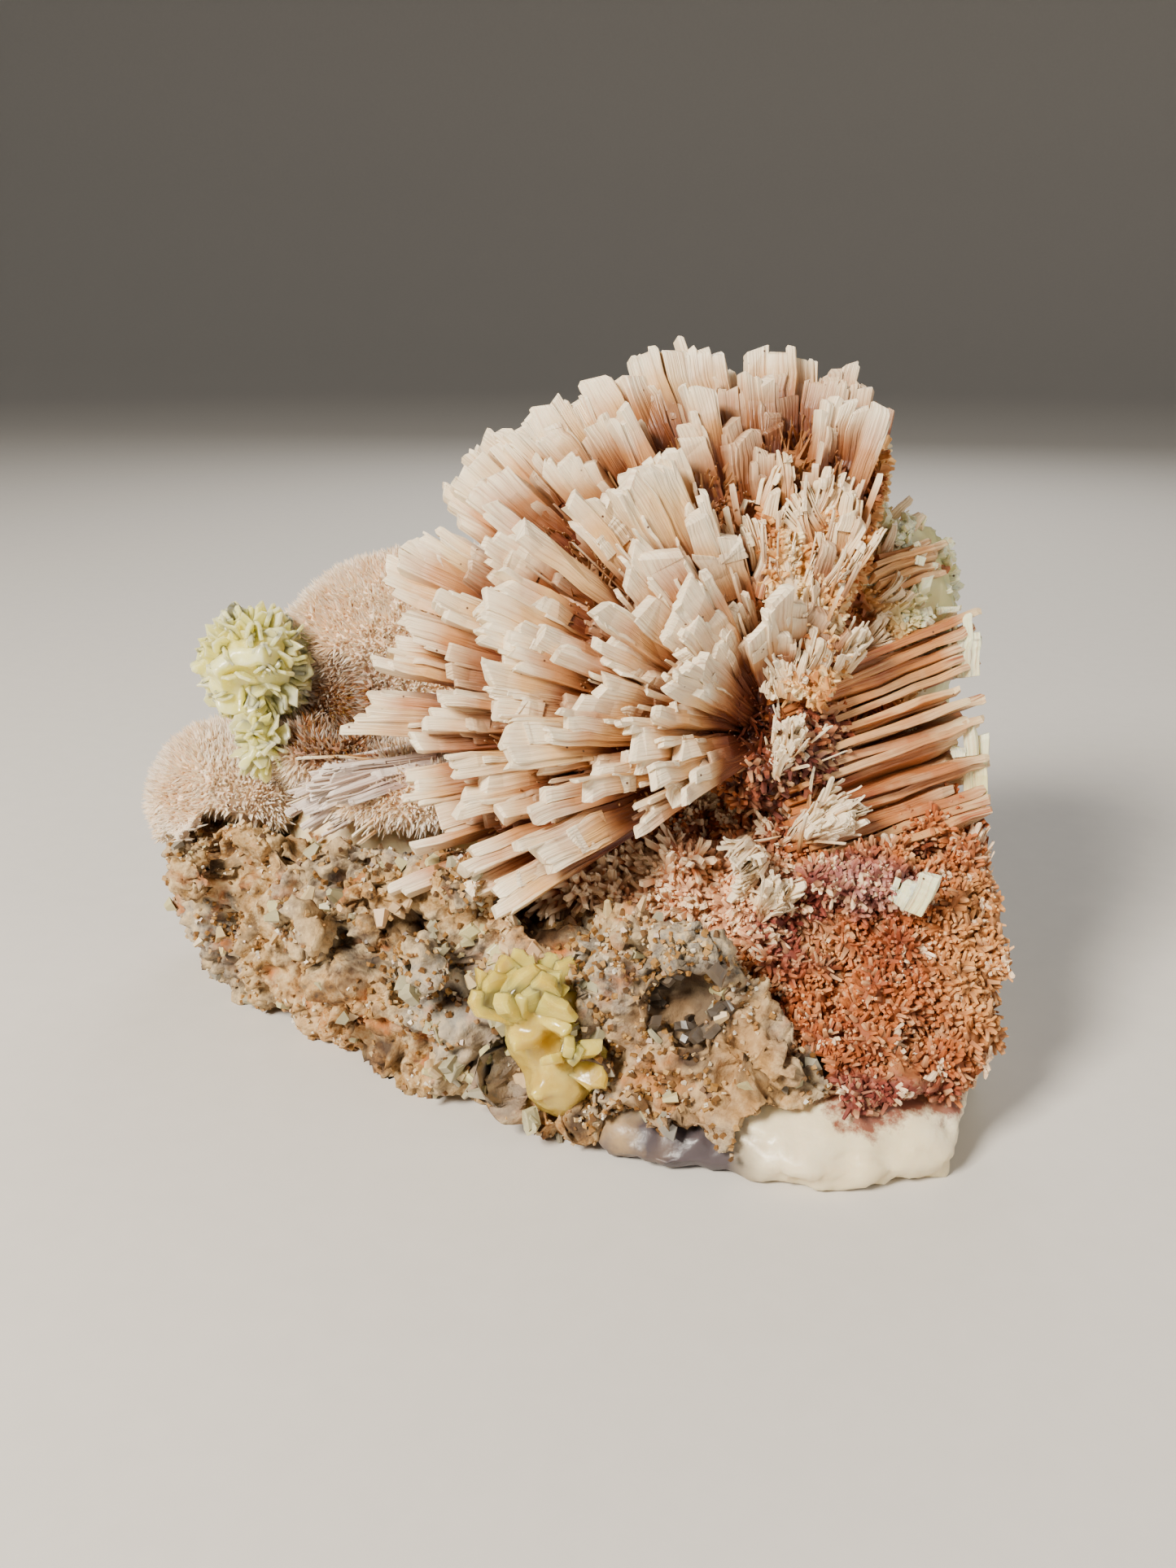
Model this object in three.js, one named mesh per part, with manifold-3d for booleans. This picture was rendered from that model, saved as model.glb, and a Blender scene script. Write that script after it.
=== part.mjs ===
// Mordenite with stilbite: a hand specimen of a zeolite vein.
// A fan of cream mordenite laths spreads from one point above a rusty bed of fine needles. It grew on
// massive white zeolite, which forms the back and the right of the base, and on brown altered basalt, which
// forms the front and the left. Two velvety lobes stand at the left. Pale green stilbite sits on them, and
// honey yellow stilbite in the basalt.
//
// Millimetres, +Z up, +X to the right, +Y away from the face that shows the fan.
// The origin is in the flat underside that the specimen rests on.

import * as THREE from "three";
import { mergeVertices } from "three/addons/utils/BufferGeometryUtils.js";
import Module from "manifold-3d";

const wasm = await Module();
wasm.setup();

// Driving sizes
const GAP = 0.4; // clearance left where two pieces meet
const FAN_CENTRE = new THREE.Vector3(24, -8, 44); // the point that the laths spread from
const FACE_TILT = THREE.MathUtils.degToRad(20); // the face of the fan leans back by this much
const LATH_REACH = 54; // fan centre to the longest lath tips
const LATH_THICKNESS = [1.7, 3.0];
const RIGHT_BREAK = 50.8; // the broken right side is about this far from the origin
const ROCK_TOLERANCE = 0.4; // rock and lumps are kept this true to their rounded shape
const FACET_TOLERANCE = 0.05; // facets that lie this close to one plane become one

// Directions in the face of the fan: right, up the face, and out of it
const RIGHT = new THREE.Vector3(1, 0, 0);
const UP = new THREE.Vector3(0, Math.sin(FACE_TILT), Math.cos(FACE_TILT));
const OUT = new THREE.Vector3(0, -Math.cos(FACE_TILT), Math.sin(FACE_TILT));

// Colours as seen on the specimen
const finish = (color, roughness) => new THREE.MeshStandardMaterial({ color, roughness, metalness: 0 });
const CREAM_LATHS = finish("#e6d2bd", 0.5);
const WHITE_ZEOLITE = finish("#e4dcc8", 0.4);
const RUSTY_NEEDLES = finish("#b9754f", 0.85);
const BROWN_BASALT = finish("#9b7f5a", 0.95);
const PEACH_VELVET = finish("#e3c6ac", 0.85);
const GREEN_STILBITE = finish("#dfdc9c", 0.3);
const YELLOW_STILBITE = finish("#d3bf78", 0.3);

// Repeatable random numbers from 0 to 1
function dice(seed) {
  let state = seed;
  return () => {
    state = (state * 1664525 + 1013904223) % 4294967296;
    return state / 4294967296;
  };
}

const between = (low, high, share) => low + (high - low) * share;

// A smooth unevenness from -1 to 1 over space
function ripple(point, wavelength, phase) {
  const k = (2 * Math.PI) / wavelength;
  const a = Math.sin(k * (point.x + 0.6 * point.y) + phase);
  const b = Math.sin(k * (point.y + 0.6 * point.z) + 1.7 * phase);
  const c = Math.sin(k * (point.z + 0.6 * point.x) + 2.3 * phase);
  return (a + b + c) / 3;
}

// A closed solid from a geometry
function solid(geometry) {
  const bare = new THREE.BufferGeometry();
  const flat = geometry.index ? geometry.toNonIndexed() : geometry;
  bare.setAttribute("position", flat.getAttribute("position"));
  const merged = mergeVertices(bare, 1e-3);
  return new wasm.Manifold(
    new wasm.Mesh({
      numProp: 3,
      vertProperties: new Float32Array(merged.attributes.position.array),
      triVerts: new Uint32Array(merged.index.array),
    }),
  );
}

const joined = (solids) => solids.reduce((sum, each) => sum.add(each));
const coarse = (body) => body.simplify(ROCK_TOLERANCE);
const without = (body, cutters) => cutters.reduce((rest, each) => rest.subtract(each), body);

// The largest connected piece: a chip that a cut has freed falls away, and a closed void inside is filled
function mainPiece(body) {
  const pieces = body.decompose();
  return pieces.reduce((best, each) => (each.volume() > best.volume() ? each : best));
}

function geometryOf(body) {
  const data = body.getMesh();
  const positions = new Float32Array(data.numVert * 3);
  for (let i = 0; i < data.numVert; i++) {
    positions.set(data.vertProperties.subarray(i * data.numProp, i * data.numProp + 3), i * 3);
  }
  return new THREE.BufferGeometry()
    .setAttribute("position", new THREE.BufferAttribute(positions, 3))
    .setIndex(new THREE.BufferAttribute(new Uint32Array(data.triVerts), 1));
}

// What cuts the clearance of a body into its neighbours: the body with each face moved out by the gap
function clearOf(body) {
  const geometry = geometryOf(body);
  const position = geometry.getAttribute("position");
  const index = geometry.getIndex();
  const normals = Array.from({ length: position.count }, () => []);
  const face = new THREE.Triangle();
  for (let i = 0; i < index.count; i += 3) {
    const corners = [index.getX(i), index.getX(i + 1), index.getX(i + 2)];
    const normal = face.setFromAttributeAndIndices(position, ...corners).getNormal(new THREE.Vector3());
    corners.forEach((corner) => normals[corner].push(normal));
  }
  normals.forEach((around, i) => {
    const mean = around.reduce((sum, each) => sum.add(each), new THREE.Vector3()).normalize();
    const least = Math.max(0.4, Math.min(...around.map((each) => each.dot(mean))));
    const point = new THREE.Vector3().fromBufferAttribute(position, i).addScaledVector(mean, GAP / least);
    position.setXYZ(i, point.x, point.y, point.z);
  });
  return solid(geometry).add(body);
}

// Welding vertices that lie together can pinch off a small void, so the main piece is taken until
// nothing parts any more
function meshOf(name, body, material) {
  let piece = mainPiece(body.simplify(FACET_TOLERANCE));
  while (solid(geometryOf(piece)).decompose().length > 1) {
    piece = mainPiece(solid(geometryOf(piece)));
  }
  const mesh = new THREE.Mesh(geometryOf(piece), material);
  mesh.geometry.computeVertexNormals();
  mesh.name = name;
  return mesh;
}

// A rounded lump: an ellipsoid with coarse and fine unevenness. lay tips it about X, then turns it about Z.
function lump({ at, radii, lay = [0, 0], rough = 1, wavelength = 16, phase = 1, detail = 3 }) {
  const geometry = new THREE.IcosahedronGeometry(1, detail);
  geometry.scale(...radii);
  geometry.rotateX(THREE.MathUtils.degToRad(lay[0]));
  geometry.rotateZ(THREE.MathUtils.degToRad(lay[1]));
  const position = geometry.getAttribute("position");
  const centre = new THREE.Vector3(...at);
  const point = new THREE.Vector3();
  for (let i = 0; i < position.count; i++) {
    point.fromBufferAttribute(position, i);
    const direction = point.clone().normalize();
    point.add(centre);
    const height = ripple(point, wavelength, phase) + 0.5 * ripple(point, wavelength / 2.7, phase + 2);
    point.addScaledVector(direction, rough * height);
    position.setXYZ(i, point.x, point.y, point.z);
  }
  return solid(geometry);
}

const lumps = (list) => joined(list.map(lump));

// A box that cuts away all that lies beyond a plane through a point, for a fracture face
function beyond(point, normal) {
  const geometry = new THREE.BoxGeometry(400, 400, 200).translate(0, 0, 100);
  const toNormal = new THREE.Quaternion().setFromUnitVectors(
    new THREE.Vector3(0, 0, 1),
    new THREE.Vector3(...normal).normalize(),
  );
  return solid(geometry.applyQuaternion(toNormal).translate(...point));
}

// The flat that the specimen rests on, and the old break at its right side
const belowRest = beyond([0, 0, 0], [0, 0, -1]);
const pastBreak = joined([
  beyond([RIGHT_BREAK, 0, 40], [1, 0, 0]),
  beyond([RIGHT_BREAK - 0.8, -25, 12], [0.9, -0.35, -0.25]),
]);

// Massive white zeolite: the base, the right side and the back, broken to flat faces behind
const MASSIVE = [
  { at: [13, -2, 2], radii: [22, 38, 8], rough: 0.8, wavelength: 34, detail: 2 },
  { at: [29.5, -11, 3], radii: [28, 31, 11], rough: 0.7, wavelength: 30, phase: 2, detail: 2 },
  { at: [34, 0, 21], radii: [20, 15, 20], rough: 0.8, wavelength: 20, phase: 7, detail: 1 },
  { at: [16, 18, 30], radii: [36, 24, 39], rough: 2.2, wavelength: 24, phase: 3, detail: 2 },
  { at: [37.5, 8, 40], radii: [13, 13, 38], rough: 1.2, wavelength: 22, phase: 4, detail: 2 },
  { at: [-22, 19, 18], radii: [26, 18, 21], rough: 1.5, wavelength: 24, phase: 5, detail: 2 },
  { at: [-12, 3, 8], radii: [26, 23, 15], rough: 0.6, wavelength: 24, phase: 6, detail: 2 },
];
const FRACTURES = [
  { through: [10, 35, 20], normal: [0.08, 1, 0.1] },
  { through: [8, 31, 52], normal: [-0.15, 0.85, 0.55] },
  { through: [28, 30, 34], normal: [0.5, 0.9, 0.2] },
  { through: [43, 21, 26], normal: [0.95, 0.45, -0.1] },
  { through: [22, 16, 71], normal: [0.25, 0.3, 1] },
  { through: [-18, 29, 40], normal: [-0.6, 0.6, 0.6] },
  { through: [-8, 31, 30], normal: [-0.5, 0.85, 0.1] },
  { through: [6, 34, 6], normal: [-0.2, 0.9, -0.5] },
];
const fractures = FRACTURES.map(({ through, normal }) => beyond(through, normal));
const massive = coarse(without(lumps(MASSIVE), [...fractures, belowRest, pastBreak]));

// Altered basalt: the crumbly front and left. Stations run along the front from the right, round the left
// end and along the back. Each gives the lower rim of the rock and the crest above it.
const BASALT_STATIONS = [
  { rim: [26, -36.5, 3.5], crest: [27, -33, 12] },
  { rim: [19, -39.5, 3.5], crest: [22, -30, 20.5] },
  { rim: [10, -37.5, 4.5], crest: [12, -26, 29] },
  { rim: [0, -33.5, 4], crest: [4, -28, 27] },
  { rim: [-10, -30, 3.5], crest: [-4, -27, 24] },
  { rim: [-19, -24, 3], crest: [-10, -23, 27] },
  { rim: [-28, -17, 4], crest: [-17, -15, 33] },
  { rim: [-36, -12, 6], crest: [-26, -9, 30] },
  { rim: [-45, -6, 8], crest: [-36, -3, 29] },
  { rim: [-55, 2, 10], crest: [-47, 1, 29] },
  { rim: [-61, 10, 14], crest: [-57, 10, 26] },
  { rim: [-63, 20, 13], crest: [-59, 20, 22] },
  { rim: [-57, 30, 8], crest: [-52, 29, 19] },
  { rim: [-43, 36, 5], crest: [-40, 33, 20] },
  { rim: [-24, 38, 4], crest: [-22, 35, 24] },
  { rim: [-4, 38, 3], crest: [-3, 36, 16] },
  { rim: [12, 30, 3], crest: [10, 28, 8] },
  { rim: [18, 8, 3], crest: [16, 6, 8] },
  { rim: [26, -16, 3], crest: [25, -16, 9] },
];
const BASALT_MIDDLE = new THREE.Vector3(-14, 0, 20);
const BASALT_AROUND = 44; // corners round the rock
const BASALT_ROWS = [0, 0.3, 0.65, 1]; // shares of the way up from the rim to the crest
const BASALT_BULGE = 2.2;
const BASALT_ROUGH = { height: 1.7, wavelength: 10, phase: 4 };
const BASALT_KNOBS = [
  { at: [12, -31, 26], radii: [6, 4.5, 4.5], rough: 1.5, wavelength: 6, detail: 0 },
  { at: [20, -35, 14], radii: [5.5, 4, 4.5], rough: 1.4, wavelength: 6, phase: 2, detail: 0 },
  { at: [-15, -20, 30], radii: [5, 4, 4.5], rough: 1.5, wavelength: 6, phase: 4, detail: 0 },
  { at: [-20, -23, 20], radii: [5.5, 4, 4], rough: 1.4, wavelength: 6, phase: 5, detail: 0 },
  { at: [-27, -17, 27], radii: [5, 4, 5], rough: 1.5, wavelength: 6, phase: 6, detail: 0 },
  { at: [-37, -12, 20], radii: [5.5, 4, 4.5], rough: 1.5, wavelength: 6, phase: 7, detail: 0 },
  { at: [-31, -17, 9], radii: [5, 3.5, 4], rough: 1.2, wavelength: 6, phase: 9, detail: 0 },
  { at: [-54, 0, 22], radii: [4.5, 4.5, 4.5], rough: 1.5, wavelength: 6, phase: 10, detail: 0 },
];
const BASALT_FOOT = -4; // the rock is built down to here and then cut at the rest face

function basaltCrust() {
  const corners = (key) => BASALT_STATIONS.map((station) => new THREE.Vector3(...station[key]));
  const loop = (key) => new THREE.CatmullRomCurve3(corners(key), true);
  const rim = loop("rim");
  const crest = loop("crest");
  const columns = [];
  for (let i = 0; i < BASALT_AROUND; i++) {
    const low = rim.getPoint(i / BASALT_AROUND);
    const high = crest.getPoint(i / BASALT_AROUND);
    const outward = low.clone().sub(BASALT_MIDDLE).setZ(0).normalize();
    const column = [low.clone().addScaledVector(outward, -7).setZ(BASALT_FOOT)];
    for (const share of BASALT_ROWS) {
      const point = low.clone().lerp(high, share);
      const rough = BASALT_ROUGH.height * ripple(point, BASALT_ROUGH.wavelength, BASALT_ROUGH.phase);
      column.push(point.addScaledVector(outward, BASALT_BULGE * Math.sin(Math.PI * share) + rough));
    }
    column.push(high.clone().lerp(BASALT_MIDDLE, 0.45));
    columns.push(column);
  }
  const positions = [];
  const triangle = (...three) => three.forEach((point) => positions.push(point.x, point.y, point.z));
  const bottom = BASALT_MIDDLE.clone().setZ(BASALT_FOOT);
  columns.forEach((here, i) => {
    const next = columns[(i + 1) % BASALT_AROUND];
    triangle(bottom, here[0], next[0]);
    for (let j = 0; j < here.length - 1; j++) {
      triangle(here[j], here[j + 1], next[j]);
      triangle(next[j], here[j + 1], next[j + 1]);
    }
    triangle(here.at(-1), BASALT_MIDDLE, next.at(-1));
  });
  const geometry = new THREE.BufferGeometry();
  geometry.setAttribute("position", new THREE.Float32BufferAttribute(positions, 3));
  return solid(geometry);
}

const PITS = [
  { at: [10.5, -33, 19], radii: [3.8, 6, 5.2], rough: 0.5, wavelength: 6, detail: 0 },
  { at: [-37, -12, 12], radii: [2.6, 4, 4.6], rough: 0.4, wavelength: 6, phase: 2, detail: 0 },
  { at: [-40.5, -4, 28], radii: [5.5, 6, 3.2], rough: 0.4, wavelength: 6, phase: 3, detail: 0 },
  { at: [-49, -6, 18], radii: [2.2, 5, 3.2], rough: 0.4, wavelength: 6, phase: 4, detail: 0 },
  { at: [-24, -20, 15], radii: [2.6, 3.4, 2.6], rough: 0.4, wavelength: 6, phase: 6, detail: 0 },
];
const basalt = coarse(basaltCrust().add(lumps(BASALT_KNOBS)));

// The bed of fine rusty needles between the fan and the front edge
const BED = [
  {
    at: [23, -15.5, 20], radii: [35, 27, 9], lay: [50, -10], rough: 0.9, wavelength: 12, phase: 2,
    detail: 2,
  },
  {
    at: [29, -28, 11], radii: [16, 11, 6.5], lay: [40, -12], rough: 0.8, wavelength: 9, phase: 3,
    detail: 2,
  },
  {
    at: [33, -20, 30.5], radii: [8.5, 5, 3.6], lay: [20, 12], rough: 0.7, wavelength: 7, phase: 4,
    detail: 1,
  },
];
const bed = coarse(lumps(BED));

// The velvety lobes at the left
const UPPER_LOBE = [
  { at: [-27, 19, 43], radii: [20, 14, 20], rough: 1.4, wavelength: 15, phase: 1, detail: 2 },
  { at: [-34, 9, 37], radii: [12, 9, 8], rough: 0.8, wavelength: 9, phase: 2, detail: 2 },
  { at: [-23, 1, 34], radii: [13, 8, 6.5], lay: [20, 0], rough: 0.8, wavelength: 8, phase: 5, detail: 1 },
  { at: [-19, 25, 53], radii: [13, 11, 10], rough: 0.9, wavelength: 9, phase: 4, detail: 1 },
];
const LOBE_HOLLOW = {
  at: [-35.5, 3, 47], radii: [5.5, 6, 6.5], rough: 0.5, wavelength: 7, phase: 3, detail: 1,
};
const LOWER_LOBE = [
  { at: [-52, 18, 26], radii: [14, 14, 13.5], rough: 1.0, wavelength: 12, phase: 3, detail: 2 },
  { at: [-47, 26, 21], radii: [12, 10, 10], rough: 0.8, wavelength: 9, phase: 5, detail: 2 },
];
const upperLobe = coarse(without(lumps(UPPER_LOBE), [lump(LOBE_HOLLOW)]));
const lowerLobe = coarse(lumps(LOWER_LOBE));

// One flat lath. It starts a little way out from the fan centre and ends in a stepped tip.
// clock is its direction in the face, anticlockwise from the right, and lean is its angle out of the face.
function lath({ clock, lean, reach, width, thickness, roll, start, steps, centre = FAN_CENTRE }) {
  const turn = THREE.MathUtils.degToRad(clock);
  const rise = THREE.MathUtils.degToRad(lean);
  const along = new THREE.Vector3()
    .addScaledVector(RIGHT, Math.cos(turn) * Math.cos(rise))
    .addScaledVector(UP, Math.sin(turn) * Math.cos(rise))
    .addScaledVector(OUT, Math.sin(rise));
  const facing = OUT.clone().addScaledVector(along, -OUT.dot(along)).normalize();
  facing.applyAxisAngle(along, THREE.MathUtils.degToRad(roll));
  const across = new THREE.Vector3().crossVectors(facing, along);

  const half = width / 2;
  const foot = half * between(0.35, 0.75, start / reach);
  const outline = new THREE.Shape([new THREE.Vector2(start, -foot)]);
  steps.forEach((step, i) => {
    const low = -half + (width * i) / steps.length;
    const high = -half + (width * (i + 1)) / steps.length;
    outline.lineTo(reach - step, low);
    outline.lineTo(reach - step, high);
  });
  outline.lineTo(start, foot);
  outline.closePath();
  const geometry = new THREE.ExtrudeGeometry(outline, { depth: thickness, bevelEnabled: false, steps: 1 });
  geometry.translate(0, 0, -thickness / 2);
  geometry.applyMatrix4(new THREE.Matrix4().makeBasis(along, across, facing).setPosition(centre));
  return solid(geometry);
}

// Laths that stand out by themselves: clock direction, lean, reach, width and roll
const LONE_LATHS = [
  [105.6, 0, 53.3, 3.6, 12], [109.4, 1, 52.6, 3.0, -10], [112.2, 1, 51.3, 3.0, 25],
  [118, 2, 50.5, 4.0, -12], [122.4, 0, 51.8, 4.2, 10], [126.6, 0, 52.6, 4.2, -14],
  [132, 0, 52.7, 5.2, 6], [135.8, -2, 54, 4.4, 20], [101.4, 0, 50.3, 5.0, -8],
  [93.1, -4, 51.8, 2.6, 14], [89, -2, 50, 3.0, -16], [85.6, -4, 49.7, 3.0, 10],
  [80.2, 0, 48.7, 4.6, 4], [74.2, 3, 43.4, 4.8, -10], [104.6, 10, 45, 3.2, 6],
  [98, 5, 44, 4.5, -20], [94.9, 16, 36.4, 3.4, 10], [100.6, 11, 41, 2.6, 30],
  [129, 10, 45.3, 5.2, -14], [131.6, 19, 39.4, 5.2, 12], [115, 18, 39.2, 4.2, -8],
  [119.5, 7, 46, 5.2, 14], [139.4, 6, 49.2, 5.4, -16], [139.6, 0, 52.7, 5.0, 8],
  [143.4, -2, 53.8, 4.4, 18], [150, -3, 54, 3.8, -12], [153.4, -3, 54, 4.2, 10],
  [156.8, -5, 56, 4.2, -8], [146.8, 10, 46.8, 8.0, -10], [157, 18, 41.6, 8.5, 8],
  [168.7, 20, 40, 9.5, -6], [159, 10, 46.7, 3.6, 10], [164, 6, 49.4, 3.2, -14],
  [168, 2, 52.4, 4.2, 12], [143.7, 21, 42.8, 2.4, 50], [135.2, 28, 36.2, 6.6, -12],
  [144.4, 33, 32.6, 6.2, 16], [160.2, 28, 36.3, 2.8, 42], [132.7, 42, 29.5, 8.2, -8],
  [121.3, 23, 38.6, 7.4, 10], [112.4, 30, 35.6, 4.8, -6], [176.9, 11, 45.7, 3.2, 8],
  [177.4, -2, 56, 3.2, -10], [181.6, 25, 37.6, 5.6, 6], [176.7, 31, 34, 5.4, -14],
  [180.5, 8, 47.6, 2.8, 12], [186.7, 16, 42.8, 4.4, -8], [189.8, 7, 48, 7.0, 6],
  [195.7, 26, 36.8, 3.2, -12], [201.6, 14, 44, 2.8, 8], [205.3, 23, 38, 4.6, -6],
  [209.9, 16, 42.3, 3.2, 10], [210, 35, 31.6, 2.0, -10], [205.6, 43, 27.6, 2.6, 14],
  [192.2, 34, 32.4, 4.2, -10], [181.7, 41, 28.7, 4.6, 12], [156, 50, 25, 3.8, -14],
  [191.3, 46, 25.6, 5.0, 8], [203, 49, 23.4, 4.2, -10],
];

// The rest of the fan, spread evenly over its clock directions and leans
const FAN = { laths: 10, clock: [70, 205], lean: [-34, 30] };
const FAN_BULGE = 20; // how far the fan stands out of its face over the fan centre
const FAN_DEPTH = 36; // and how far it reaches behind it

// The fan is domed: its surface over a lean is this far from the fan centre
function domedReach(lean) {
  const rise = THREE.MathUtils.degToRad(lean);
  return 1 / Math.hypot(Math.cos(rise) / LATH_REACH, Math.sin(rise) / (lean > 0 ? FAN_BULGE : FAN_DEPTH));
}

// The laths stand out of a grown-together core. It reaches this share of the way to their tips, less where
// they lean out towards the front.
const coreShare = (lean) => between(0.74, 0.42, THREE.MathUtils.smoothstep(lean, 8, 50));

function fanLaths() {
  const next = dice(11);
  const made = LONE_LATHS.map(([clock, lean, reach, width, roll]) => ({
    clock,
    lean,
    reach,
    width,
    roll,
    thickness: between(...LATH_THICKNESS, next()),
    start: coreShare(lean) * reach - 4,
    steps: width > 7 ? [next() * 2.4, next() * 1.4] : [next()],
  }));
  for (let i = 0; i < FAN.laths; i++) {
    const lean = between(...FAN.lean, (0.5 + (i + 1) * 0.7548776662) % 1);
    const reach = domedReach(lean) - 2 - 7 * next() ** 1.5;
    made.push({
      clock: between(...FAN.clock, (0.5 + (i + 1) * 0.569840291) % 1),
      lean,
      reach,
      width: between(3.4, 6.4, next()),
      roll: between(-32, 32, next()),
      thickness: between(...LATH_THICKNESS, next()),
      start: coreShare(lean) * reach - 4,
      steps: [next() * 2.5],
    });
  }
  return made;
}

// Beyond the fan's two sides the core narrows to a stub
const FAN_CORE = { stub: 11, from: [58, 74], to: [198, 214], rough: 1.0, wavelength: 14, detail: 3 };

function fanCore() {
  const geometry = new THREE.IcosahedronGeometry(1, FAN_CORE.detail);
  const position = geometry.getAttribute("position");
  const direction = new THREE.Vector3();
  for (let i = 0; i < position.count; i++) {
    direction.fromBufferAttribute(position, i).normalize();
    const clock = (THREE.MathUtils.radToDeg(Math.atan2(direction.dot(UP), direction.x)) + 360) % 360;
    const lean = THREE.MathUtils.radToDeg(Math.asin(direction.dot(OUT)));
    const entered = THREE.MathUtils.smoothstep(clock, ...FAN_CORE.from);
    const left = THREE.MathUtils.smoothstep(clock, ...FAN_CORE.to);
    const reach = between(FAN_CORE.stub, coreShare(lean) * domedReach(lean), entered * (1 - left));
    const point = direction.clone().multiplyScalar(reach).add(FAN_CENTRE);
    point.addScaledVector(direction, FAN_CORE.rough * ripple(point, FAN_CORE.wavelength, 2));
    position.setXYZ(i, point.x, point.y, point.z);
  }
  return solid(geometry);
}

// Ribs at the broken right side: parallel laths seen on edge, in bundles that share one direction.
// from and to are the middles of the bundle's ends, and up is how far it spreads up the face.
const RIB_BUNDLES = [
  { from: [25, -12, 49], to: [50, -1, 55.5], spread: 7, count: 4, width: 9, thickness: 1.3 },
  { from: [27, -15, 43], to: [49.5, -7, 48], spread: 6, count: 3, width: 8, thickness: 1.2 },
  { from: [27, -16, 35], to: [50.5, -8, 40], spread: 13, count: 6, width: 9, thickness: 1.4 },
  { from: [37, -3, 64], to: [46, 3, 65.5], spread: 5, count: 3, width: 7, thickness: 1.1 },
];

function ribs() {
  const next = dice(23);
  const made = [];
  for (const bundle of RIB_BUNDLES) {
    const from = new THREE.Vector3(...bundle.from);
    const along = new THREE.Vector3(...bundle.to).sub(from);
    const length = along.length();
    along.normalize();
    const across = OUT.clone().addScaledVector(along, -OUT.dot(along)).normalize();
    const stack = new THREE.Vector3().crossVectors(along, across);
    for (let i = 0; i < bundle.count; i++) {
      const place = bundle.spread * ((i + 0.5) / bundle.count - 0.5);
      const stretch = length - 2.5 * next();
      const geometry = new THREE.BoxGeometry(stretch + 6, bundle.width, bundle.thickness);
      geometry.translate(stretch / 2 - 3, (next() - 0.7) * 2.4 - bundle.width * 0.25, 0);
      geometry.rotateX(THREE.MathUtils.degToRad(between(-9, 9, next())));
      geometry.applyMatrix4(new THREE.Matrix4().makeBasis(along, across, stack));
      const corner = from.clone().addScaledVector(stack, place);
      made.push(solid(geometry.translate(corner.x, corner.y, corner.z)));
    }
  }
  return made;
}

// White rock between the core and the broken right side, and the short broken tufts on it
const FAN_FLANK = [
  { at: [33, 2, 54], radii: [13, 9, 19], lay: [-14, 0], rough: 1.0, wavelength: 11, phase: 5, detail: 1 },
];
const TUFTS = [
  { at: [25, -17, 47], radii: [3.6, 4, 3.6], rough: 0.7, wavelength: 5, phase: 1, detail: 0 },
  { at: [30, -19, 37], radii: [4.4, 3.6, 4.2], rough: 0.7, wavelength: 5, phase: 2, detail: 0 },
  { at: [27, -9, 62], radii: [5.5, 6, 4.6], rough: 0.9, wavelength: 6, phase: 4, detail: 0 },
  { at: [37, -6, 59], radii: [4.6, 5, 4.6], rough: 0.9, wavelength: 6, phase: 5, detail: 0 },
  { at: [30, -13, 54], radii: [4.4, 5, 5.4], rough: 0.9, wavelength: 6, phase: 6, detail: 0 },
];

const fan = joined([fanCore(), lumps(FAN_FLANK), lumps(TUFTS), ...fanLaths().map(lath), ...ribs()]);

// A flat stilbite crystal: a table with a blunt point, swollen at its waist like a bow tie
function stilbiteTable({ width, length, thickness }) {
  const outline = new THREE.Shape([
    new THREE.Vector2(-width * 0.28, 0),
    new THREE.Vector2(width * 0.28, 0),
    new THREE.Vector2(width * 0.5, length * 0.62),
    new THREE.Vector2(width * 0.05, length),
    new THREE.Vector2(-width * 0.5, length * 0.66),
  ]);
  const geometry = new THREE.ExtrudeGeometry(outline, { depth: thickness, bevelEnabled: false, steps: 1 });
  return geometry.translate(0, 0, -thickness / 2);
}

// A cluster of them, fanned round an axis that points out of what they grow on
function stilbiteCluster({ at, outward, size, count, seed, heart, spread = 75 }) {
  const next = dice(seed);
  const axis = new THREE.Vector3(...outward).normalize();
  const upright = new THREE.Quaternion().setFromUnitVectors(new THREE.Vector3(0, 1, 0), axis);
  const parts = [lump({ at, radii: heart, rough: 0.6, wavelength: 5, phase: seed, detail: 1 })];
  for (let i = 0; i < count; i++) {
    const turn = i * 137.5 + 30 * next();
    const tip = spread * Math.sqrt((i + 0.5) / count);
    const geometry = stilbiteTable({
      width: size * between(0.55, 0.95, next()),
      length: size * between(0.8, 1.15, next()),
      thickness: size * between(0.2, 0.34, next()),
    });
    geometry.rotateY(THREE.MathUtils.degToRad(180 * next()));
    geometry.rotateZ(THREE.MathUtils.degToRad(tip));
    geometry.rotateY(THREE.MathUtils.degToRad(turn));
    geometry.applyQuaternion(upright);
    parts.push(solid(geometry.translate(...at)));
  }
  return joined(parts);
}

const GREEN_CLUSTER = [
  {
    at: [-45.5, 9, 49], outward: [-0.6, -0.6, 0.5], size: 9.5, count: 7, seed: 5,
    heart: [6, 5, 6.5], spread: 85,
  },
  {
    at: [-44, 5, 39.5], outward: [-0.1, -0.8, -0.6], size: 5.5, count: 3, seed: 6,
    heart: [2.6, 3, 4.4], spread: 60,
  },
];
const YELLOW_CLUSTER = [
  {
    at: [-6, -27.5, 15], outward: [0.1, -0.7, 0.7], size: 7.5, count: 5, seed: 9, heart: [4.2, 5, 7.5],
    spread: 60,
  },
  {
    at: [-3.5, -28.5, 8.5], outward: [0.2, -0.9, 0.1], size: 5.5, count: 3, seed: 10,
    heart: [4.4, 5, 6], spread: 60,
  },
];
const greenCluster = joined(GREEN_CLUSTER.map(stilbiteCluster));
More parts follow.
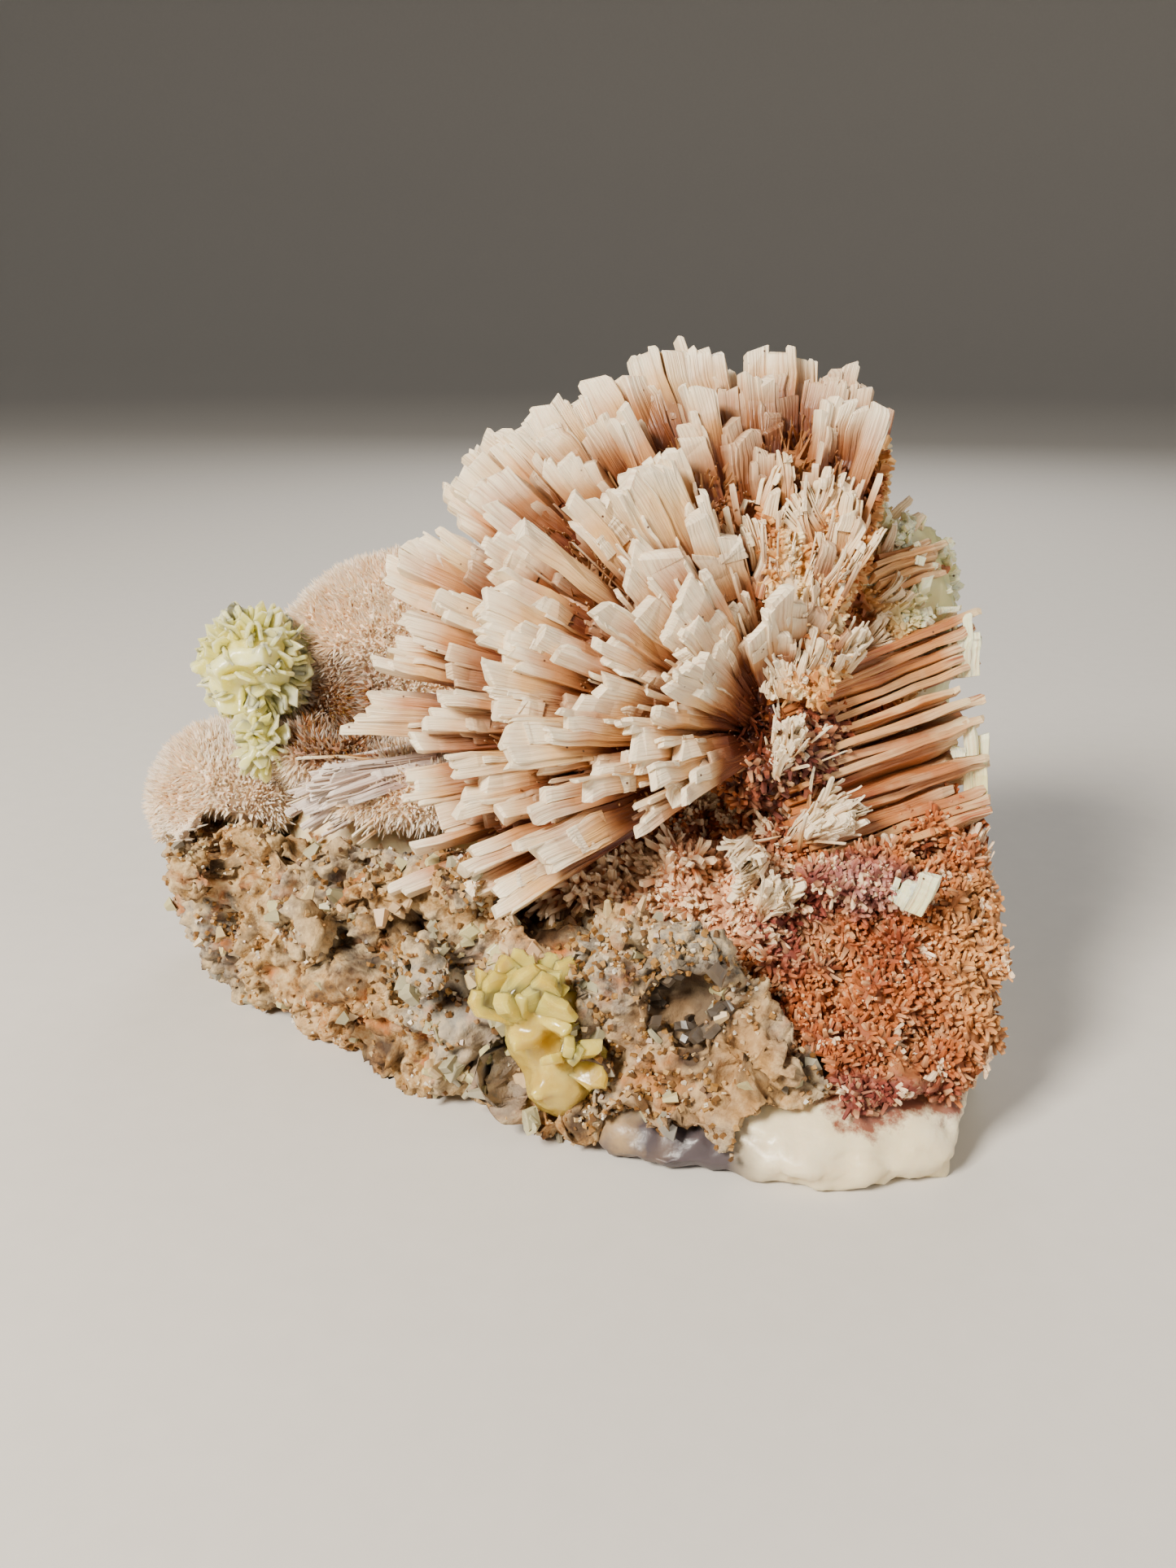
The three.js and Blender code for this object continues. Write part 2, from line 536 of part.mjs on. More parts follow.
const yellowCluster = joined(YELLOW_CLUSTER.map(stilbiteCluster));

// The yellow stilbite fills a socket in the basalt, a little wider than its rounded hearts
const SOCKET_ROOM = 0.9;
const yellowSocket = lumps(
  YELLOW_CLUSTER.map(({ at, heart }) => ({ at, radii: heart.map((r) => r + SOCKET_ROOM), detail: 1 })),
);

const specimen = new THREE.Group();
const add = (name, body, material) => specimen.add(meshOf(name, body, material));

add("massive_zeolite", massive, WHITE_ZEOLITE);
add(
  "altered_basalt",
  without(basalt, [clearOf(massive), belowRest, yellowSocket, clearOf(yellowCluster), lumps(PITS)]),
  BROWN_BASALT,
);
add("needle_bed", without(bed, [clearOf(massive), clearOf(basalt), pastBreak]), RUSTY_NEEDLES);
add("lower_lobe", without(lowerLobe, [clearOf(massive), clearOf(basalt)]), PEACH_VELVET);
add("upper_lobe", without(upperLobe, [massive, basalt, bed, lowerLobe].map(clearOf)), PEACH_VELVET);
add(
  "mordenite_fan",
  without(fan, [...[massive, basalt, bed, upperLobe, lowerLobe].map(clearOf), pastBreak]),
  CREAM_LATHS,
);
add(
  "green_stilbite",
  without(greenCluster, [upperLobe, lowerLobe, basalt, massive].map(clearOf)),
  GREEN_STILBITE,
);
add(
  "yellow_stilbite",
  without(yellowCluster, [clearOf(massive), clearOf(bed), belowRest]),
  YELLOW_STILBITE,
);

export default specimen;
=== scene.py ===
# %% [markdown]
# # A fan of mordenite with stilbite
# A hand specimen of a zeolite vein. A fan of cream mordenite laths spreads from one dark hollow, over a rusty
# bed of fine needles. It grew on massive white zeolite and on crumbly altered basalt. Two velvety lobes stand
# at the left, with a pale green cluster of stilbite, and a honey yellow one sits in the basalt.
#
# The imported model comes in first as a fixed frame. Every piece below is made round it, in metres.

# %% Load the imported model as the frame
import math

import bmesh
import bpy
import numpy as np
from mathutils import Matrix, Vector
from mathutils.kdtree import KDTree


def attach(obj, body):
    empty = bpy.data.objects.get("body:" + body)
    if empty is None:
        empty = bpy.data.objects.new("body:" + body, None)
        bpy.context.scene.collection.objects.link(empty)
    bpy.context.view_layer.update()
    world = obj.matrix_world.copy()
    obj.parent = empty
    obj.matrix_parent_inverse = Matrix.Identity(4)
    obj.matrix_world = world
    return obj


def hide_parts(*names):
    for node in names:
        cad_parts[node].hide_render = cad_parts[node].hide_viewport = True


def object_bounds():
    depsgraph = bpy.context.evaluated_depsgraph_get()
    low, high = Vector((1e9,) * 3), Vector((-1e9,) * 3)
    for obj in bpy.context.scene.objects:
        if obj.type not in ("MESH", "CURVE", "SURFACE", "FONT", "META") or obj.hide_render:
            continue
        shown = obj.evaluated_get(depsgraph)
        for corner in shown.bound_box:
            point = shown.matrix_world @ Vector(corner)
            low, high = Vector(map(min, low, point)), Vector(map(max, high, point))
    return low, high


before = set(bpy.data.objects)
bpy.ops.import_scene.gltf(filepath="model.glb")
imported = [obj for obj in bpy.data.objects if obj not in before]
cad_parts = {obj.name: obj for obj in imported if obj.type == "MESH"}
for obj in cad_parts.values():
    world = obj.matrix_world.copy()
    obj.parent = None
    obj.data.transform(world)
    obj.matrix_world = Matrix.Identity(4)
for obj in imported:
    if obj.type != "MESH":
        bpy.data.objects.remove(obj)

cad_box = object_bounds()
MM = 0.001
print("nodes in the frame:", ", ".join(sorted(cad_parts)))
print("box in mm:", [[round(c / MM, 1) for c in corner] for corner in cad_box])

# %% [markdown]
# ## Where the fan points
# The face of the fan leans back by 20 degrees. A lath is given by its clock direction in that face and by its
# lean out of it, so three unit directions are kept: right, up the face, and out of the face. All lengths are
# worked out in millimetres and become metres when a mesh is made.

# %% Directions and small number helpers
FAN_CENTRE = np.array([24.0, -8.0, 44.0])
FACE_TILT = math.radians(20)
RIGHT = np.array([1.0, 0.0, 0.0])
UP = np.array([0.0, math.sin(FACE_TILT), math.cos(FACE_TILT)])
OUT = np.array([0.0, -math.cos(FACE_TILT), math.sin(FACE_TILT)])
LATH_REACH, FAN_BULGE, FAN_DEPTH = 54.0, 20.0, 36.0


def between(low, high, share):
    return low + (high - low) * share


def eased(value, low, high):
    share = np.clip((value - low) / (high - low), 0, 1)
    return share * share * (3 - 2 * share)


def unit(vector):
    vector = np.asarray(vector, float)
    return vector / np.linalg.norm(vector)


def domed_reach(lean):
    """The fan is domed: this is its surface, in mm from the fan centre, at a lean in degrees."""
    rise = math.radians(lean)
    half = FAN_BULGE if lean > 0 else FAN_DEPTH
    return 1 / math.hypot(math.cos(rise) / LATH_REACH, math.sin(rise) / half)


def core_share(lean):
    """How far the grown-together core reaches, as a share of the fan's surface."""
    return between(0.74, 0.42, eased(lean, 8, 50))


def ripple(points, wavelength, phase):
    """A smooth unevenness from -1 to 1, the same as in the CAD source."""
    k = 2 * math.pi / wavelength
    x, y, z = points.T
    return (np.sin(k * (x + 0.6 * y) + phase) + np.sin(k * (y + 0.6 * z) + 1.7 * phase)
            + np.sin(k * (z + 0.6 * x) + 2.3 * phase)) / 3


def wavered(points):
    """The points moved a little by two smooth waves, as neighbours are, so that straight edges waver."""
    moved = points.reshape(-1, 3).copy()
    for wavelength, height in ((2.3, 0.13), (6.1, 0.3)):
        moved += height * np.stack([ripple(moved, wavelength, phase) for phase in (1, 4, 8)], axis=1)
    return moved.reshape(points.shape)


print("fan surface at lean 0, 20 and 45:", [round(domed_reach(lean), 1) for lean in (0, 20, 45)])

# %% [markdown]
# ## Camera, floor and light
# The photograph looks down on the specimen by 20 degrees from close by, so the lens is wide. The floor is plain
# and pale, and it curves up far away on all sides, so that no edge shows. Daylight comes soft and warm from the
# upper left, with a weaker fill at the right and from behind.

# %% Camera
IMAGE_SIZE = (1445, 1927)
camera_data = bpy.data.cameras.new("camera")
camera_data.lens, camera_data.sensor_width, camera_data.clip_start = 30.0, 36.0, 0.01
camera = bpy.data.objects.new("camera", camera_data)
bpy.context.scene.collection.objects.link(camera)
camera.location, camera.rotation_euler = (0, -0.165, 0.095), (math.radians(70), 0, 0)
bpy.context.scene.camera = camera
print("camera", [round(c, 3) for c in camera.location], "for an image of", IMAGE_SIZE)


# %% Colours and one node
def linear(hex_colour):
    """An sRGB hex colour as the linear values that the shaders take."""
    channels = [int(hex_colour[i:i + 2], 16) / 255 for i in (1, 3, 5)]
    return (*[c / 12.92 if c <= 0.04045 else ((c + 0.055) / 1.055) ** 2.4 for c in channels], 1.0)


def add(tree, kind, links=None, stops=None, **settings):
    """One node: its settings, then its inputs, each a value or the output of another node."""
    node = tree.nodes.new(kind)
    for key, value in settings.items():
        setattr(node, key, value)
    if stops:
        ramp = node.color_ramp
        while len(ramp.elements) > 1:
            ramp.elements.remove(ramp.elements[0])
        ramp.elements[0].position, ramp.elements[0].color = stops[0][0], linear(stops[0][1])
        for place, colour in stops[1:]:
            ramp.elements.new(place).color = linear(colour)
    for key, value in (links or {}).items():
        if isinstance(value, bpy.types.NodeSocket):
            tree.links.new(value, node.inputs[key])
        elif isinstance(value, str) and value.startswith("#"):
            node.inputs[key].default_value = linear(value)
        else:
            node.inputs[key].default_value = value
    return node


print("peach in linear light:", [round(c, 3) for c in linear("#E6D2BD")])


# %% [markdown]
# A material starts as an empty tree with one Principled shader. What is the same all over the surface goes
# straight on the shader's sockets. What changes over it is built up like paint: a base colour, then coats that
# each show only where some value lets them, such as a mottling of a given size or the distance from a stain.

# %% Material start
def start_material(name, **constants):
    """A material with its shader and its place on the piece in metres."""
    material = bpy.data.materials.new(name)
    material.use_nodes = True
    tree = material.node_tree
    tree.nodes.clear()
    shader = add(tree, "ShaderNodeBsdfPrincipled")
    for key, value in constants.items():
        shader.inputs[key.replace("_", " ")].default_value = value
    output = add(tree, "ShaderNodeOutputMaterial", {"Surface": shader.outputs[0]})
    output.location = (300, 0)
    place = add(tree, "ShaderNodeTexCoord").outputs["Object"]
    return material, tree, shader, place


def mottle(tree, place, size_mm, detail=3.0, roughness=0.55):
    """A soft mottling from 0 to 1 whose spots are about size_mm wide."""
    links = {"Vector": place, "Scale": 1 / (size_mm * MM * 2), "Detail": detail, "Roughness": roughness}
    return add(tree, "ShaderNodeTexNoise", links).outputs["Fac"]


def near(tree, place, at_mm, radii_mm, ragged):
    """1 within a patch round a point, falling to 0 at its ragged edge."""
    offset = add(tree, "ShaderNodeVectorMath", {0: place, 1: [c * MM for c in at_mm]}, operation="SUBTRACT")
    size = [1 / (r * MM) for r in radii_mm]
    scaled = add(tree, "ShaderNodeVectorMath", {0: offset.outputs[0], 1: size}, operation="MULTIPLY")
    length = add(tree, "ShaderNodeVectorMath", {0: scaled.outputs[0]}, operation="LENGTH").outputs["Value"]
    edge = add(tree, "ShaderNodeMath", {0: ragged, 1: 0.9, 2: length}, operation="MULTIPLY_ADD").outputs[0]
    return add(tree, "ShaderNodeMapRange", {0: edge, 1: 1.55, 2: 1.1}).outputs[0]


def coated(tree, base, *coats):
    """Colours laid over a base. A coat shows where its value goes from low to high, up to its strength."""
    for value, low, high, strength, colour in coats:
        share = add(tree, "ShaderNodeMapRange", {0: value, 1: low, 2: high, 4: strength}).outputs[0]
        base = add(tree, "ShaderNodeMix", {0: share, 6: base, 7: colour}, data_type="RGBA").outputs[2]
    return base


def surfaced(tree, shader, colour, roughness=None, relief=None):
    """Links the colour, the roughness (value, low, high, least, most) and the relief (height, mm, strength)."""
    tree.links.new(colour, shader.inputs["Base Color"])
    if roughness:
        rough = add(tree, "ShaderNodeMapRange", dict(enumerate(roughness)))
        tree.links.new(rough.outputs[0], shader.inputs["Roughness"])
    if relief:
        height, depth_mm, strength = relief
        links = {"Height": height, "Distance": depth_mm * MM, "Strength": strength}
        tree.links.new(add(tree, "ShaderNodeBump", links).outputs[0], shader.inputs["Normal"])


print("material helpers ready")

# %% Floor and lights
SWEEP = [(0.0, 0.0), (1.5, 0.0), (1.8, 0.03), (2.1, 0.12), (2.4, 0.3), (2.6, 0.55), (2.7, 0.9), (2.72, 1.6)]
SWEEP_STEPS = 96
around = [2 * math.pi * k / SWEEP_STEPS for k in range(SWEEP_STEPS)]
sweep_points = [(0, 0, 0)] + [(r * math.cos(a), r * math.sin(a), z) for r, z in SWEEP[1:] for a in around]
sweep_faces = [(0, 1 + k, 1 + (k + 1) % SWEEP_STEPS) for k in range(SWEEP_STEPS)]
for level in range(len(SWEEP) - 2):
    for k in range(SWEEP_STEPS):
        a, b = 1 + level * SWEEP_STEPS + k, 1 + level * SWEEP_STEPS + (k + 1) % SWEEP_STEPS
        sweep_faces.append((a, a + SWEEP_STEPS, b + SWEEP_STEPS, b))
floor_data = bpy.data.meshes.new("floor")
floor_data.from_pydata(sweep_points, [], sweep_faces)
floor_data.polygons.foreach_set("use_smooth", [True] * len(floor_data.polygons))
floor = bpy.data.objects.new("floor", floor_data)
bpy.context.scene.collection.objects.link(floor)
floor_material, floor_tree, floor_shader, floor_place = start_material("pale_floor", Roughness=0.9)
floor_grain = mottle(floor_tree, floor_place, 2.0)
surfaced(floor_tree, floor_shader, coated(floor_tree, "#CFCBC5", (floor_grain, 0, 1, 1, "#D6D2CC")))
floor_data.materials.append(floor_material)

LIGHTS = [
    ("window", (-0.40, -0.42, 0.48), 13.5, 0.20, (1.0, 0.92, 0.80)),
    ("right_fill", (0.50, -0.34, 0.30), 1.6, 0.5, (1.0, 0.97, 0.93)),
    ("back_fill", (0.10, 0.55, 0.45), 2.2, 0.4, (1.0, 0.97, 0.93)),
]
for light_name, spot, power, size, tone in LIGHTS:
    lamp = bpy.data.lights.new(light_name, "AREA")
    lamp.energy, lamp.size, lamp.color = power, size, tone
    holder = bpy.data.objects.new(light_name, lamp)
    bpy.context.scene.collection.objects.link(holder)
    aim = (Vector((0, 0, 0.04)) - Vector(spot)).to_track_quat("-Z", "Y").to_matrix().to_4x4()
    holder.matrix_world = Matrix.Translation(spot) @ aim
world = bpy.data.worlds.new("room")
world.use_nodes = True
world.node_tree.nodes["Background"].inputs[0].default_value = (0.62, 0.61, 0.60, 1)
world.node_tree.nodes["Background"].inputs[1].default_value = 0.16
bpy.context.scene.world = world
print(len(LIGHTS), "lights")


# %% [markdown]
# ## A piece of mesh
# Each piece is made as arrays of points in millimetres and faces. Values that a material needs, such as how far
# a point is from the tip of its lath, are stored on the points. Every finished piece rides on the body named
# root, stands for its CAD node and takes the material it is given, if any.

# %% Mesh and finish helpers
def mesh_piece(name, points, faces, values=None, uv=None, smooth=True):
    """A new object from points in mm, faces, values on its points and a UV map called grain."""
    data = bpy.data.meshes.new(name)
    if isinstance(faces, np.ndarray):
        faces = faces.tolist()
    data.from_pydata((np.asarray(points) * MM).tolist(), [], faces)
    for key, value in (values or {}).items():
        data.attributes.new(key, "FLOAT", "POINT").data.foreach_set("value", np.asarray(value, np.float32))
    if uv is not None:
        corners = np.empty(len(data.loops), np.int32)
        data.loops.foreach_get("vertex_index", corners)
        data.uv_layers.new(name="grain").data.foreach_set("uv", np.asarray(uv, np.float32)[corners].ravel())
    data.polygons.foreach_set("use_smooth", [smooth] * len(data.polygons))
    data.update()
    piece = bpy.data.objects.new(name, data)
    bpy.context.scene.collection.objects.link(piece)
    return piece


def triangles(piece):
    piece.data.calc_loop_triangles()
    return len(piece.data.loop_triangles)


def made_plain(piece):
    """The piece with its modifiers applied: a plain mesh and nothing left to evaluate."""
    evaluated = piece.evaluated_get(bpy.context.evaluated_depsgraph_get())
    data = bpy.data.meshes.new_from_object(evaluated)
    piece.modifiers.clear()
    piece.data = data
    return piece


def kept_inside(piece):
    """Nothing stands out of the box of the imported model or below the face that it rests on."""
    points = np.empty(len(piece.data.vertices) * 3, np.float32)
    piece.data.vertices.foreach_get("co", points)
    inside = np.clip(points.reshape(-1, 3), np.array(cad_box[0]), np.array(cad_box[1]))
    piece.data.vertices.foreach_set("co", inside.astype(np.float32).ravel())
    piece.data.update()


def finish_piece(piece, node, material=None):
    kept_inside(piece)
    if material is not None:
        piece.data.materials.clear()
        piece.data.materials.append(material)
    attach(piece, "root")
    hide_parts(node)
    print(f"{piece.name}: {triangles(piece)} triangles")


def grown(piece, tree, **inputs):
    """The piece after a Geometry Nodes tree. Inputs are set by their sockets' identifiers."""
    modifier = piece.modifiers.new("grow", "NODES")
    modifier.node_group = tree
    for item in tree.interface.items_tree:
        key = item.name.replace(" ", "_")
        if item.in_out == "INPUT" and key in inputs:
            modifier[item.identifier] = inputs[key]
    return made_plain(piece)


print("mesh helpers ready")


# %% [markdown]
# ## Blades
# Mordenite grows as bundles of fibres. Each broken slab is a row of thin blades side by side, and every blade
# breaks off at its own length, which gives the stepped tips. One function turns rows of blades into a mesh:
# each blade is a chamfered bar with a few rings along it, a narrower foot and a slightly bevelled tip.

# %% Blade rows to mesh
BLADE_RINGS = (0.0, 0.3, 0.5, 0.65, 0.78, 0.9, 1.0, 1.0)
CORNERS = np.array([[1, -1], [1, 1], [1, 1], [-1, 1], [-1, 1], [-1, -1], [-1, -1], [1, -1]])
CHAMFERED = np.array([[0, 1], [0, 1], [1, 0], [1, 0], [0, 1], [0, 1], [1, 0], [1, 0]])
CHAMFER = 0.06
TORN_RINGS = (0.0, 0.4, 0.75, 1.0, 1.0)
SPLINTER_RINGS = (0.0, 0.5, 0.92, 1.0)
SPLINTER_CORNERS = np.array([[1, -0.3], [0.3, 1], [-1, 0.3], [-0.3, -1]])


def fan_paleness_with_gap_shade(points, from_tip):
    """0 in the maroon hollow and 1 where the laths are pale; lower away from the tips and deep under the domed
    surface, as painted shade in the gaps.
    """
    away = points - FAN_CENTRE
    distance = np.linalg.norm(away, axis=-1)
    rise = np.arcsin(np.clip(away @ OUT / np.maximum(distance, 0.1), -1, 1))
    dome = 1 / np.hypot(np.cos(rise) / LATH_REACH, np.sin(rise) / np.where(rise > 0, FAN_BULGE, FAN_DEPTH))
    # Lower away from the tip and deep under the domed surface: painted shade in the gaps between the laths.
    near_tip = 1 - 0.5 * eased(from_tip, 4, 16)
    return eased(distance, 6, 19) * near_tip * (1 - 0.8 * eased(dome - distance, 2.5, 14))


def blade_mesh(name, blades, rings=BLADE_RINGS, corners=CORNERS, seed=1, paleness=fan_paleness_with_gap_shade):
    """One mesh from rows of (root, along, across, facing, length, root width, tip width, thickness, tint)."""
    rng = np.random.default_rng(seed)
    root, along, across, facing = (np.array([row[k] for row in blades]) for k in range(4))
    length, root_width, tip_width, thickness, tint = (np.array([row[k] for row in blades]) for k in range(4, 9))
    count, steps, sides = len(blades), len(rings), len(corners)
    chamfered = CHAMFERED if sides == len(CORNERS) else np.zeros(corners.shape)
    shoulder = np.minimum(rng.uniform(0.15, 0.8, count), 0.3 * length)
    tip_slope = rng.uniform(-0.7, 0.7, count)
    narrowed, thinned = rng.uniform(0.66, 1.0, count), rng.uniform(0.45, 0.95, count)
    side = rng.uniform(-1, 1, (count, 2))
    rows = []
    for k, share in enumerate(rings):
        width = between(root_width, tip_width, min(1, share * 1.25)) * rng.uniform(0.96, 1.05, count)
        depth = thickness * between(0.75, 1.0, min(1, share * 1.4)) * rng.uniform(0.95, 1.04, count)
        x, shift = length * share, rng.normal(0, 0.03, (count, 2)) * (share > 0)
        if k == steps - 2:
            x = length - shoulder
        if k == steps - 1:
            shift = shift + side * np.stack([width * (1 - narrowed), depth * (1 - thinned)], axis=1) / 2
            width, depth = width * narrowed, depth * thinned
        cut = np.minimum(CHAMFER, 0.25 * np.minimum(width, depth))[:, None]
        y = corners[:, 0] * ((width / 2)[:, None] - cut * chamfered[:, 0]) + shift[:, :1]
        z = corners[:, 1] * ((depth / 2)[:, None] - cut * chamfered[:, 1]) + shift[:, 1:]
        x = x[:, None] + y * tip_slope[:, None] * (k >= steps - 2)
        rows.append(np.stack([x, y, z], axis=2))
    local = np.stack(rows, axis=1)
    axes = np.stack([along, across, facing], axis=1)
    points = wavered(np.einsum("nrcj,njk->nrck", local, axes) + root[:, None, None, :])
    ring = np.arange(sides)
    after = (ring + 1) % sides
    base = (np.arange(count) * steps * sides)[:, None, None]
    level = (np.arange(steps - 1) * sides)[None, :, None]
    a, b = base + level + ring, base + level + after
    walls = np.stack([a, b, b + sides, a + sides], axis=3).reshape(-1, 4)
    tops = base[:, 0] + (steps - 1) * sides + ring
    feet = base[:, 0] + ring[::-1]
    faces = walls.tolist() + tops.tolist() + feet.tolist()
    from_tip = (length[:, None, None] - local[..., 0]).clip(0)
    values = {
        "from_tip": from_tip.ravel(),
        "pale": paleness(points, from_tip).ravel(),
        "tint": np.broadcast_to(tint[:, None, None], from_tip.shape).ravel(),
    }
    own = rng.uniform(0, 50, (count, 1, 1))
    uv = np.stack([local[..., 0] + own, local[..., 1] + 0.8 * local[..., 2] + own * 3], axis=3).reshape(-1, 2)
    return mesh_piece(name, points.reshape(-1, 3), faces, values, uv, smooth=False)


print("a blade has", len(BLADE_RINGS), "rings of", len(CORNERS), "corners")


# %% [markdown]
# A slab is such a row of blades. Their ends step down on both sides of the highest one. Now and then a shorter
# chip of the same kind lies on the slab, as where a sheet has cleaved off. A low taper makes the blades
# pointed, so that the end looks torn, and a low coarse makes them narrow.

# %% Slab of blades
STEP_WIDTHS, STEP_DROPS = (0.3, 0.6, 1.2, 2.4), (0, 0.2, 0.5, 1.0, 2.2)
OVERLAP = 1.12  # neighbouring blades cover each other a little


def slab(blades, root, along, across, facing, start, reach, width, thickness, tint, rng, jag=1.0, foot=None,
         chipped=0.35, taper=1.0, coarse=1.0):
    """Adds the blades of one slab, from start to reach along its axis, in mm from its root."""
    count = max(2, round(width / (coarse * rng.uniform(0.8, 1.6))))
    cuts = np.cumsum(rng.choice(STEP_WIDTHS, count))
    cuts = np.concatenate([[0], cuts / cuts[-1]]) - 0.5
    foot = between(0.35, 0.75, start / reach) if foot is None else foot
    peak, fall = rng.uniform(-0.45, 0.45), rng.uniform(0.4, 5.5)
    bow = rng.uniform(-0.3, 0.3)
    for low, high in zip(cuts[:-1], cuts[1:]):
        middle = (low + high) / 2
        drop = jag * (abs(middle - peak) * fall + rng.choice(STEP_DROPS) * rng.uniform(0.5, 1.2))
        own = (high - low) * width * OVERLAP
        lift = rng.normal(0, 0.025) + 0.2 * rng.choice([-1, 0, 0, 0, 0, 1])
        lift = lift + bow * (4 * middle * middle - 0.5)
        fan_out = math.atan2(middle * width * (1 - foot), max(4.0, reach - start))
        own_along = unit(along * math.cos(fan_out) + across * math.sin(fan_out))
        own_across = unit(across - own_along * float(across @ own_along))
        own_root = root + along * start + across * (middle * width * foot) + facing * lift
        own_tint = np.clip(tint + rng.normal(0, 0.05), 0, 1)
        blades.append((own_root, own_along, own_across, np.cross(own_along, own_across), reach - start - drop,
                       own * foot, own * taper, thickness * rng.uniform(0.92, 1.06), own_tint))
        if rng.random() < chipped:
            low_end = rng.uniform(0.35, 0.75) * (reach - start)
            chip = own_along * low_end + np.cross(own_along, own_across) * thickness * rng.uniform(0.3, 0.55)
            chip_width = own * rng.uniform(0.7, 1.6)
            chip_length = (reach - start - drop - low_end) * rng.uniform(0.3, 0.85)
            blades.append((own_root + chip, own_along, own_across, np.cross(own_along, own_across), chip_length,
                           chip_width, chip_width * 0.9, thickness * rng.uniform(0.3, 0.6), own_tint))


def broken(lean):
    """Share of the thickness that is left, and raggedness. Laths that point forward are thin ragged sheets."""
    share = float(eased(lean, 22, 36))
    return between(1.0, 0.55, share), between(1.0, 2.1, share)


def lath_axes(clock, lean, roll):
    """Three unit directions of a lath: along it, across it and out of its broad face."""
    turn, rise, twist = np.radians([clock, lean, roll])
    along = unit(math.cos(rise) * (math.cos(turn) * RIGHT + math.sin(turn) * UP) + math.sin(rise) * OUT)
    facing = unit(OUT - along * float(OUT @ along))
    facing = facing * math.cos(twist) + np.cross(along, facing) * math.sin(twist)
    return along, np.cross(facing, along), facing


print("what is left of a lath at lean 20 and 40:", [round(broken(lean)[0], 2) for lean in (20, 40)])

# %% [markdown]
# ## The laths that stand out
# These are the laths that can be told apart on the specimen. Each row gives the clock direction, the lean out
# of the face, the reach from the centre, the width and the roll. They are the same rows as the CAD laths, so
# the outline of the fan is kept while each lath gets its fibres and its stepped tip.

# %% Lone laths
LONE_LATHS = [
    (105.6, 0, 53.3, 3.6, 12), (109.4, 1, 52.6, 3.0, -10), (112.2, 1, 51.3, 3.0, 25),
    (118, 2, 50.5, 4.0, -12), (122.4, 0, 51.8, 4.2, 10), (126.6, 0, 52.6, 4.2, -14),
    (132, 0, 52.7, 5.2, 6), (135.8, -2, 54, 4.4, 20), (101.4, 0, 50.3, 5.0, -8),
    (93.1, -4, 51.8, 2.6, 14), (89, -2, 50, 3.0, -16), (85.6, -4, 49.7, 3.0, 10),
    (80.2, 0, 48.7, 4.6, 4), (74.2, 3, 43.4, 4.8, -10), (104.6, 10, 45, 3.2, 6),
    (98, 5, 44, 4.5, -20), (94.9, 16, 36.4, 3.4, 10), (100.6, 11, 41, 2.6, 30),
    (129, 10, 45.3, 5.2, -14), (131.6, 19, 39.4, 5.2, 12), (115, 18, 39.2, 4.2, -8),
    (119.5, 7, 46, 5.2, 14), (139.4, 6, 49.2, 5.4, -16), (139.6, 0, 52.7, 5.0, 8),
    (143.4, -2, 53.8, 4.4, 18), (150, -3, 54, 3.8, -12), (153.4, -3, 54, 4.2, 10),
    (156.8, -5, 56, 4.2, -8), (146.8, 10, 46.8, 8.0, -10), (157, 18, 41.6, 8.5, 8),
    (168.7, 20, 40, 9.5, -6), (159, 10, 46.7, 3.6, 10), (164, 6, 49.4, 3.2, -14),
    (168, 2, 52.4, 4.2, 12), (143.7, 21, 42.8, 2.4, 50), (135.2, 28, 36.2, 6.6, -12),
    (144.4, 33, 32.6, 6.2, 16), (160.2, 28, 36.3, 2.8, 42), (132.7, 42, 29.5, 8.2, -8),
    (121.3, 23, 38.6, 7.4, 10), (112.4, 30, 35.6, 4.8, -6), (176.9, 11, 45.7, 3.2, 8),
    (177.4, -2, 56, 3.2, -10), (181.6, 25, 37.6, 5.6, 6), (176.7, 31, 34, 5.4, -14),
    (180.5, 8, 47.6, 2.8, 12), (186.7, 16, 42.8, 4.4, -8), (189.8, 7, 48, 7.0, 6),
    (195.7, 26, 36.8, 3.2, -12), (201.6, 14, 44, 2.8, 8), (205.3, 23, 38, 4.6, -6),
    (209.9, 16, 42.3, 3.2, 10), (210, 35, 31.6, 2.0, -10), (205.6, 43, 27.6, 2.6, 14),
    (192.2, 34, 32.4, 4.2, -10), (181.7, 41, 28.7, 4.6, 12), (156, 50, 25, 3.8, -14),
    (191.3, 46, 25.6, 5.0, 8), (203, 49, 23.4, 4.2, -10),
]
LATH_THICKNESS = (1.6, 3.0)
LATH_SPREAD = 1.15  # the blades of a lath stand this much wider than its solid
LATH_START = 0.3  # the share of its reach at which a lath leaves the core
BRIGHT_LATH, MAUVE_LATH, PEACH_LATH = 0.9, 0.15, 0.5

rng = np.random.default_rng(11)
lone_blades = []
for clock, lean, reach, width, roll in LONE_LATHS:
    along, across, facing = lath_axes(clock, lean, roll)
    tint = rng.choice([BRIGHT_LATH, BRIGHT_LATH, PEACH_LATH, MAUVE_LATH, 0.7]) - 0.2 * (clock > 182)
    left, jag = broken(lean)
    slab(lone_blades, FAN_CENTRE, along, across, facing, start=LATH_START * reach, reach=reach,
         width=width * LATH_SPREAD, thickness=rng.uniform(*LATH_THICKNESS) * left, tint=max(tint, 0.1), rng=rng,
         jag=jag)
print(len(LONE_LATHS), "laths made of", len(lone_blades), "blades")

# %% [markdown]
# ## The crowd between them
# The rest of the fan is a crowd of laths of the same kind. They spread evenly over clock and lean with a
# low-discrepancy row, so no two stand in the same place, and they end a little under the domed surface.

